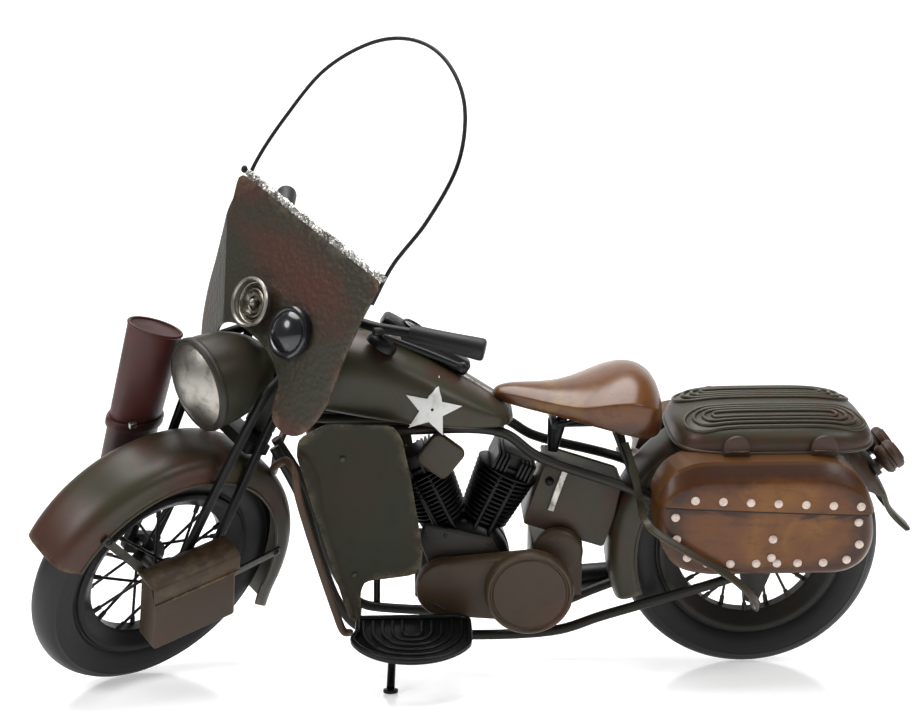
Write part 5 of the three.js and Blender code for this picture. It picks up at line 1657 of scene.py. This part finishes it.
def apron_shape():
    """The windshield's sheet with its folded wings and its turned corner."""
    half = [(-8, 109), (-16, 106.5), (-22.6, 101), (-23, 90), (-25.5, 85.5), (-32, 84), (-39, 87),
            (-43.5, 96), (-45.5, 108), (-44.5, 122), (-APRON_HALF, APRON_TOP)]
    outline = resampled(rounded([*[(-y, z) for y, z in reversed(half)], *half], 4, 4), 150)
    wing = ((-44.4, 141), (-18.5, 105.5))
    corner = ((33, 159), (45.8, 147))

    def point(y, z):
        wings = 0.2 * beyond(*wing, (y, z)) if y < 0 else 0.42 * beyond(*wing, (-y, z))
        turned_corner = beyond(corner[1], corner[0], (y, z)) if y > 0 else 0.0
        bow = 1.6 * (1 - (y / APRON_HALF) ** 2)
        return (APRON_X + 0.4 - bow + wings - 0.3 * turned_corner, y, z)

    creases = [wing, ((44.4, 141), (18.5, 105.5)), ((34, 158.2), (45.2, 147.6))]
    return sheet(outline, point, creases, spacing=3)


def trim_shape():
    """A strip of foil crumpled along the top of the apron."""
    shake = random.Random(11)
    stations = 110
    section = [(-0.9, 0.0), (-1.1, 1.2), (-0.8, 2.3), (0, 2.7), (0.8, 2.3), (1.0, 1.2), (0.7, 0.0)]
    rings = []
    for i in range(stations + 1):
        y = -APRON_HALF + 2 * APRON_HALF * i / stations
        bow = 1.6 * (1 - (y / APRON_HALF) ** 2)
        rings.append([(APRON_X + 0.3 - bow + a + shake.uniform(-0.3, 0.3), y,
                       APRON_TOP + b + shake.uniform(-0.25, 0.25)) for a, b in section])
    return skin(rings)


def build_windshield():
    """Apron, foil strip, wire hoop, spot lamp and horn."""
    apron = MATERIALS["apron"]
    sheet_piece = make_piece("windshield_apron_sheet", apron_shape(), FORK, apron, smooth=25, thickness=0.8)
    finish_piece(mark_rim(sheet_piece, FORK, lambda x, y, z: 1.05 - abs(z - 141) / 24 - abs(y) / 70), "fork",
                 "windshield_apron")
    add_piece("windshield_foil_strip", trim_shape(), FORK, MATERIALS["foil"], "fork", "windshield_trim",
              "bare_steel", smooth=12)
    wire_x = -22.4
    half = [(wire_x, -44.5, 149), (wire_x, -45, 166), (-17.5, -46, 186), (-12.5, -42.5, 210), (-9, -30, 228),
            (-8, -15.5, 237)]
    path = smooth_path([*half, (-7.6, 0, 240), *[(x, -y, z) for x, y, z in reversed(half)]], 10)
    finish_piece(piping("windshield_wire", [path], 0.78, FORK, MATERIALS["black"]), "fork", "windshield_hoop")
    finish_piece(heads("windshield_screws", [(APRON_X - 1.0, 46.2, 160.4)], (-1, 0, 0),
                       1.6, 1.0, FORK, MATERIALS["black"]), "fork")
    spot_x = APRON_X - 1.9

    def on_apron(profile, y, z, segments=72):
        return shifted(lathe_forward(profile, segments), spot_x, y, z)

    bowl = [(0, 0), (7.2, 0), (8.6, -2.2), (9.9, -4.6), (10.2, -5.4), (9.9, -6.1), (9.2, -6.2), (8.6, -5.6),
            (8.2, -3.4), (7.6, -3.2)]
    add_piece("spot_lamp_bowl", on_apron([*bowl, (7.4, -1.5), (0, -1.5)], 4.5, 121), FORK, MATERIALS["lens"],
              "fork", "spot_lamp", "bare_steel", smooth=30)
    steps = [(0, -1.4), (7.7, -1.4), (7.7, -3.6), (7.1, -4.2), (6.7, -3.4), (6.3, -2.4), (5.8, -3.4),
             (5.3, -3.5), (4.9, -2.6), (4.2, -2.0), (3.6, -2.8), (3.1, -2.7), (2.7, -1.8), (0, -1.8)]
    add_piece("spot_lamp_reflector", on_apron(steps, 4.5, 121), FORK, MATERIALS["smoked"], "fork",
              slot="bare_steel", smooth=30)
    bulb = [(0, -5.4), (0.9, -5.2), (1.6, -4.6), (1.8, -3.8), (1.5, -3.0), (1.6, -2.2), (0, -2.0)]
    add_piece("spot_lamp_bulb", on_apron(bulb, 4.5, 121, 32), FORK, MATERIALS["steel"], "fork",
              slot="bare_steel")
    dome = [(0, -6.7), (2.2, -6.6), (4.4, -6.1), (6.2, -5.2), (7.6, -3.9), (8.2, -3.0), (8.8, -3.3),
            (9.6, -3.3), (10.3, -2.7), (10.5, -1.8), (10.3, 0), (0, 0)]
    add_piece("horn_dome", on_apron(dome, -18, 121), FORK, MATERIALS["gloss_black"], "fork", "horn",
              "black_paint", smooth=35)


# ------------------------------------------------------------------ handlebar


GRIP_START, GRIP_END = Vector((5.6, -43, 139.4)), Vector((21.7, -66, 147.4))


def along_line(shape, start, end):
    """A shape standing on Z, taken to a point and aimed along a line."""
    aim = (Vector(end) - Vector(start)).to_track_quat("Z", "Y").to_matrix().to_4x4()
    return moved(shape, Matrix.Translation(start) @ aim)


def build_handlebar():
    """The bent bar, its riser, grips, levers and copper rings."""
    black = MATERIALS["black"]
    left = [GRIP_END, (GRIP_START + GRIP_END) / 2, GRIP_START, Vector((-2.4, -33, 135.4)),
            Vector((-5, -15, 131))]
    bar = smooth_path([*left, Vector((-5.5, 0, 130)), *[Vector((x, -y, z)) for x, y, z in reversed(left)]], 8)
    finish_piece(piping("handlebar_tube", [bar], 2.0, FORK, black, 14), "fork", "handlebar")
    riser = block(-8.5, -2.5, -6, 6, 108.3, 131)
    add_piece("handlebar_riser", riser, FORK, MATERIALS["lamp"], "fork", slot="black_paint", bevel=0.8)
    for side, name in SIDES.items():
        length = (GRIP_END - GRIP_START).length * 1.06
        sleeve = [(2.2, 0.8), (3.4, 0.9), (3.7, 2), (3.7, length * 0.3), (4.0, length * 0.6),
                  (4.5, length - 1.6), (4.3, length - 0.5), (3.6, length), (0, length), (0, length - 1),
                  (2.2, length - 1)]
        grip = on_side(side, along_line(lathe_upright(sleeve, 40), GRIP_START, GRIP_END))
        add_piece(f"hand_grip_{name}", grip, FORK, MATERIALS["grip"], "fork", f"grip_{name}", "grip_rubber")
        root, tip = Vector((-4.5, -36, 134.5)), Vector((13, -69.5, 140.5))
        reach = (tip - root).length
        lever = [(0, reach * 0.12), (0.9, reach * 0.12), (1.1, reach * 0.3), (1.3, reach * 0.6),
                 (0.95, reach - 3), (1.2, reach - 2), (2.0, reach - 0.8), (2.1, reach + 0.3),
                 (1.5, reach + 1.5), (0, reach + 2)]
        add_piece(f"hand_lever_{name}", on_side(side, along_line(lathe_upright(lever, 20), root, tip)), FORK,
                  black, "fork", slot="black_paint")
        mount = [[(-4.5, side * 36, 134.5), (1.5, side * 37.5, 136.8)]]
        finish_piece(piping(f"lever_mount_{name}", mount, 1.6, FORK, black), "fork")
        rings = []
        for y in (16, 18.4, 20.8):
            centre = Vector((-4.9 + (y - 15) * 0.14, side * y, 131 + (y - 15) * 0.24))
            rings.append([centre + Vector((2.5 * math.cos(a), 0, 2.5 * math.sin(a)))
                          for a in (2 * math.pi * i / 24 for i in range(24))])
        finish_piece(piping(f"bar_rings_{name}", rings, 0.7, FORK, MATERIALS["copper"], closed=True), "fork")


# ------------------------------------------------------------------ stage


def build_stage():
    """Pale floor, white room and three soft lamps."""
    scene = bpy.context.scene
    pale, _, shader, _ = new_material("pale_glossy_board")
    shader.inputs["Base Color"].default_value = linear("f2f2f2")
    shader.inputs["Emission Color"].default_value = (1, 1, 1, 1)
    shader.inputs["Emission Strength"].default_value = 0.42
    shader.inputs["Roughness"].default_value = 0.14
    shader.inputs["Specular IOR Level"].default_value = 0.35
    run, back, rise, bend = 1.6, 1.5, 1.4, 0.5
    profile = [(-run, 0), (back - bend, 0)]
    profile += [(back - bend + bend * math.sin(t), bend - bend * math.cos(t))
                for t in (math.pi / 2 * i / 12 for i in range(1, 13))]
    profile.append((back, rise))
    rings = [[(x, y, z) for y, z in profile] for x in (-2.4, 2.4)]
    verts, faces = skin(rings, closed_rings=False, caps=False)
    mesh = bpy.data.meshes.new("floor_sweep")
    mesh.from_pydata([tuple(v) for v in verts], [], faces)
    mesh.materials.append(pale)
    mesh.polygons.foreach_set("use_smooth", [True] * len(mesh.polygons))
    floor = bpy.data.objects.new("floor_sweep", mesh)
    floor.location.z = -0.0004
    scene.collection.objects.link(floor)
    world = bpy.data.worlds.new("white_room")
    world.use_nodes = True
    world.node_tree.nodes["Background"].inputs["Color"].default_value = (1, 1, 1, 1)
    world.node_tree.nodes["Background"].inputs["Strength"].default_value = 0.22
    scene.world = world
    scene.view_settings.view_transform = "Standard"
    for name, spot, aim, size, power in (
        ("soft_box_top", (-0.05, 0.1, 1.2), (0, 0, 0.1), 1.1, 22),
        ("soft_box_left", (-1.0, -0.5, 0.8), (0, 0, 0.12), 0.5, 7),
        ("soft_box_right", (0.8, -0.7, 0.9), (0, 0, 0.12), 0.4, 5),
    ):
        light = bpy.data.lights.new(name, "AREA")
        light.shape = "DISK"
        light.size = size
        light.energy = power
        lamp = bpy.data.objects.new(name, light)
        lamp.location = spot
        lamp.rotation_euler = (Vector(aim) - Vector(spot)).to_track_quat("-Z", "Y").to_euler()
        scene.collection.objects.link(lamp)
    build_camera()


CAMERA_FROM_REAR_AXLE = Vector((-0.1469, -0.6931, 0.1236))  # metres
CAMERA_YAW, CAMERA_PITCH, CAMERA_ROLL = 2.153, 2.014, -0.426  # degrees
CAMERA_LENS = 64.3  # millimetres, on a 36 mm sensor
CAMERA_SHIFT = -0.0537  # share of the picture's width


def build_camera():
    """Seen from the left side, a little above the axles, level but for a slight roll."""
    yaw, pitch, roll = (math.radians(a) for a in (CAMERA_YAW, CAMERA_PITCH, CAMERA_ROLL))
    forward = Vector((math.sin(yaw) * math.cos(pitch), math.cos(yaw) * math.cos(pitch), -math.sin(pitch)))
    right = Vector((math.cos(yaw), -math.sin(yaw), 0))
    up = right.cross(forward)
    rolled_right = right * math.cos(roll) + up * math.sin(roll)
    rolled_up = up * math.cos(roll) - right * math.sin(roll)
    data = bpy.data.cameras.new("side_camera")
    data.lens = CAMERA_LENS
    data.sensor_width = 36
    data.shift_y = CAMERA_SHIFT
    data.clip_start = 0.01
    data.dof.use_dof = False
    camera = bpy.data.objects.new("side_camera", data)
    turn = Matrix((rolled_right, rolled_up, -forward)).transposed().to_4x4()
    camera.matrix_world = Matrix.Translation(rear_axle_point + CAMERA_FROM_REAR_AXLE) @ turn
    bpy.context.scene.collection.objects.link(camera)
    bpy.context.scene.camera = camera


# ------------------------------------------------------------------ operators, panel, add-on


# Each operator builds one group of pieces. An error in a builder stops the script.

class MOTORCYCLE_OT_finishes(bpy.types.Operator):
    """Makes the paints, metals and node trees that the pieces use"""

    bl_idname = "motorcycle.finishes"
    bl_label = "Paints and node trees"

    def execute(self, context):
        make_materials()
        make_trees()
        return {"FINISHED"}


class MOTORCYCLE_OT_wheels(bpy.types.Operator):
    """Tyres, rims, hubs and wire spokes"""

    bl_idname = "motorcycle.wheels"
    bl_label = "Wheels"

    def execute(self, context):
        build_wheel("rear", BIKE, MATERIALS["olive_dark"])
        build_wheel("front", FRONT, MATERIALS["black"])
        return {"FINISHED"}


class MOTORCYCLE_OT_fenders(bpy.types.Operator):
    """Both fenders with their rolled edges, stays and tail lamps"""

    bl_idname = "motorcycle.fenders"
    bl_label = "Fenders and tail lamps"

    def execute(self, context):
        build_fenders()
        build_tail_lamps()
        return {"FINISHED"}


class MOTORCYCLE_OT_frame(bpy.types.Operator):
    """Frame tubes, dropouts and the rear axle"""

    bl_idname = "motorcycle.frame"
    bl_label = "Frame"

    def execute(self, context):
        build_frame()
        return {"FINISHED"}


class MOTORCYCLE_OT_tank(bpy.types.Operator):
    """Tank halves, stars, filler cap and dash"""

    bl_idname = "motorcycle.tank"
    bl_label = "Fuel tank"

    def execute(self, context):
        build_tank()
        return {"FINISHED"}


class MOTORCYCLE_OT_engine(bpy.types.Operator):
    """Crankcase, cylinders, covers, gearbox and exhaust"""

    bl_idname = "motorcycle.engine"
    bl_label = "Engine"

    def execute(self, context):
        build_engine()
        return {"FINISHED"}


class MOTORCYCLE_OT_seat(bpy.types.Operator):
    """Saddle, its pillar and the battery box"""

    bl_idname = "motorcycle.seat"
    bl_label = "Saddle"

    def execute(self, context):
        build_seat()
        return {"FINISHED"}


class MOTORCYCLE_OT_luggage(bpy.types.Operator):
    """Luggage pad, saddlebags, studs and straps"""

    bl_idname = "motorcycle.luggage"
    bl_label = "Luggage"

    def execute(self, context):
        build_luggage_pad()
        build_saddlebags()
        return {"FINISHED"}


class MOTORCYCLE_OT_sides(bpy.types.Operator):
    """Leg shields, crash bar, footboards and side stand"""

    bl_idname = "motorcycle.sides"
    bl_label = "Shields and footboards"

    def execute(self, context):
        build_sides()
        return {"FINISHED"}


class MOTORCYCLE_OT_fork(bpy.types.Operator):
    """Fork, tool box, scabbard and headlamp"""

    bl_idname = "motorcycle.fork"
    bl_label = "Fork and headlamp"

    def execute(self, context):
        build_fork()
        build_headlamp()
        return {"FINISHED"}


class MOTORCYCLE_OT_windshield(bpy.types.Operator):
    """Apron, foil strip, wire hoop, spot lamp and horn"""

    bl_idname = "motorcycle.windshield"
    bl_label = "Windshield"

    def execute(self, context):
        build_windshield()
        return {"FINISHED"}


class MOTORCYCLE_OT_handlebar(bpy.types.Operator):
    """Handlebar, grips and levers"""

    bl_idname = "motorcycle.handlebar"
    bl_label = "Handlebar"

    def execute(self, context):
        build_handlebar()
        return {"FINISHED"}


class MOTORCYCLE_OT_stage(bpy.types.Operator):
    """Pale floor, soft light and camera"""

    bl_idname = "motorcycle.stage"
    bl_label = "Stage"

    def execute(self, context):
        build_stage()
        return {"FINISHED"}


OPERATORS = (MOTORCYCLE_OT_finishes, MOTORCYCLE_OT_stage, MOTORCYCLE_OT_wheels, MOTORCYCLE_OT_fenders,
             MOTORCYCLE_OT_frame, MOTORCYCLE_OT_tank, MOTORCYCLE_OT_engine, MOTORCYCLE_OT_seat,
             MOTORCYCLE_OT_luggage, MOTORCYCLE_OT_sides, MOTORCYCLE_OT_fork, MOTORCYCLE_OT_windshield,
             MOTORCYCLE_OT_handlebar,)


class MOTORCYCLE_PT_build(bpy.types.Panel):
    """Lists the sizes, colours and builders of the motorcycle"""

    bl_idname = "MOTORCYCLE_PT_build"
    bl_label = "Sheet-metal motorcycle"
    bl_space_type = "VIEW_3D"
    bl_region_type = "UI"
    bl_category = "Motorcycle"

    def draw(self, context):
        column = self.layout.column()
        for group in (context.scene.motorcycle_sizes, context.scene.motorcycle_finish):
            for name in group.__annotations__:
                column.prop(group, name)
        for operator in OPERATORS:
            column.operator(operator.bl_idname)


CLASSES = (MotorcycleSizes, MotorcycleFinish, *OPERATORS, MOTORCYCLE_PT_build)


def register():
    """Adds the classes and the two groups of settings."""
    for item in CLASSES:
        bpy.utils.register_class(item)
    bpy.types.Scene.motorcycle_sizes = bpy.props.PointerProperty(type=MotorcycleSizes)
    bpy.types.Scene.motorcycle_finish = bpy.props.PointerProperty(type=MotorcycleFinish)


def unregister():
    """Takes them away again."""
    del bpy.types.Scene.motorcycle_finish
    del bpy.types.Scene.motorcycle_sizes
    for item in reversed(CLASSES):
        bpy.utils.unregister_class(item)


def main():
    """Runs every builder in order."""
    register()
    for operator in OPERATORS:
        name = operator.bl_idname.split(".")[1]
        if getattr(bpy.ops.motorcycle, name)() != {"FINISHED"}:
            raise RuntimeError(f"the step {name} did not finish")


if __name__ == "__main__":
    main()
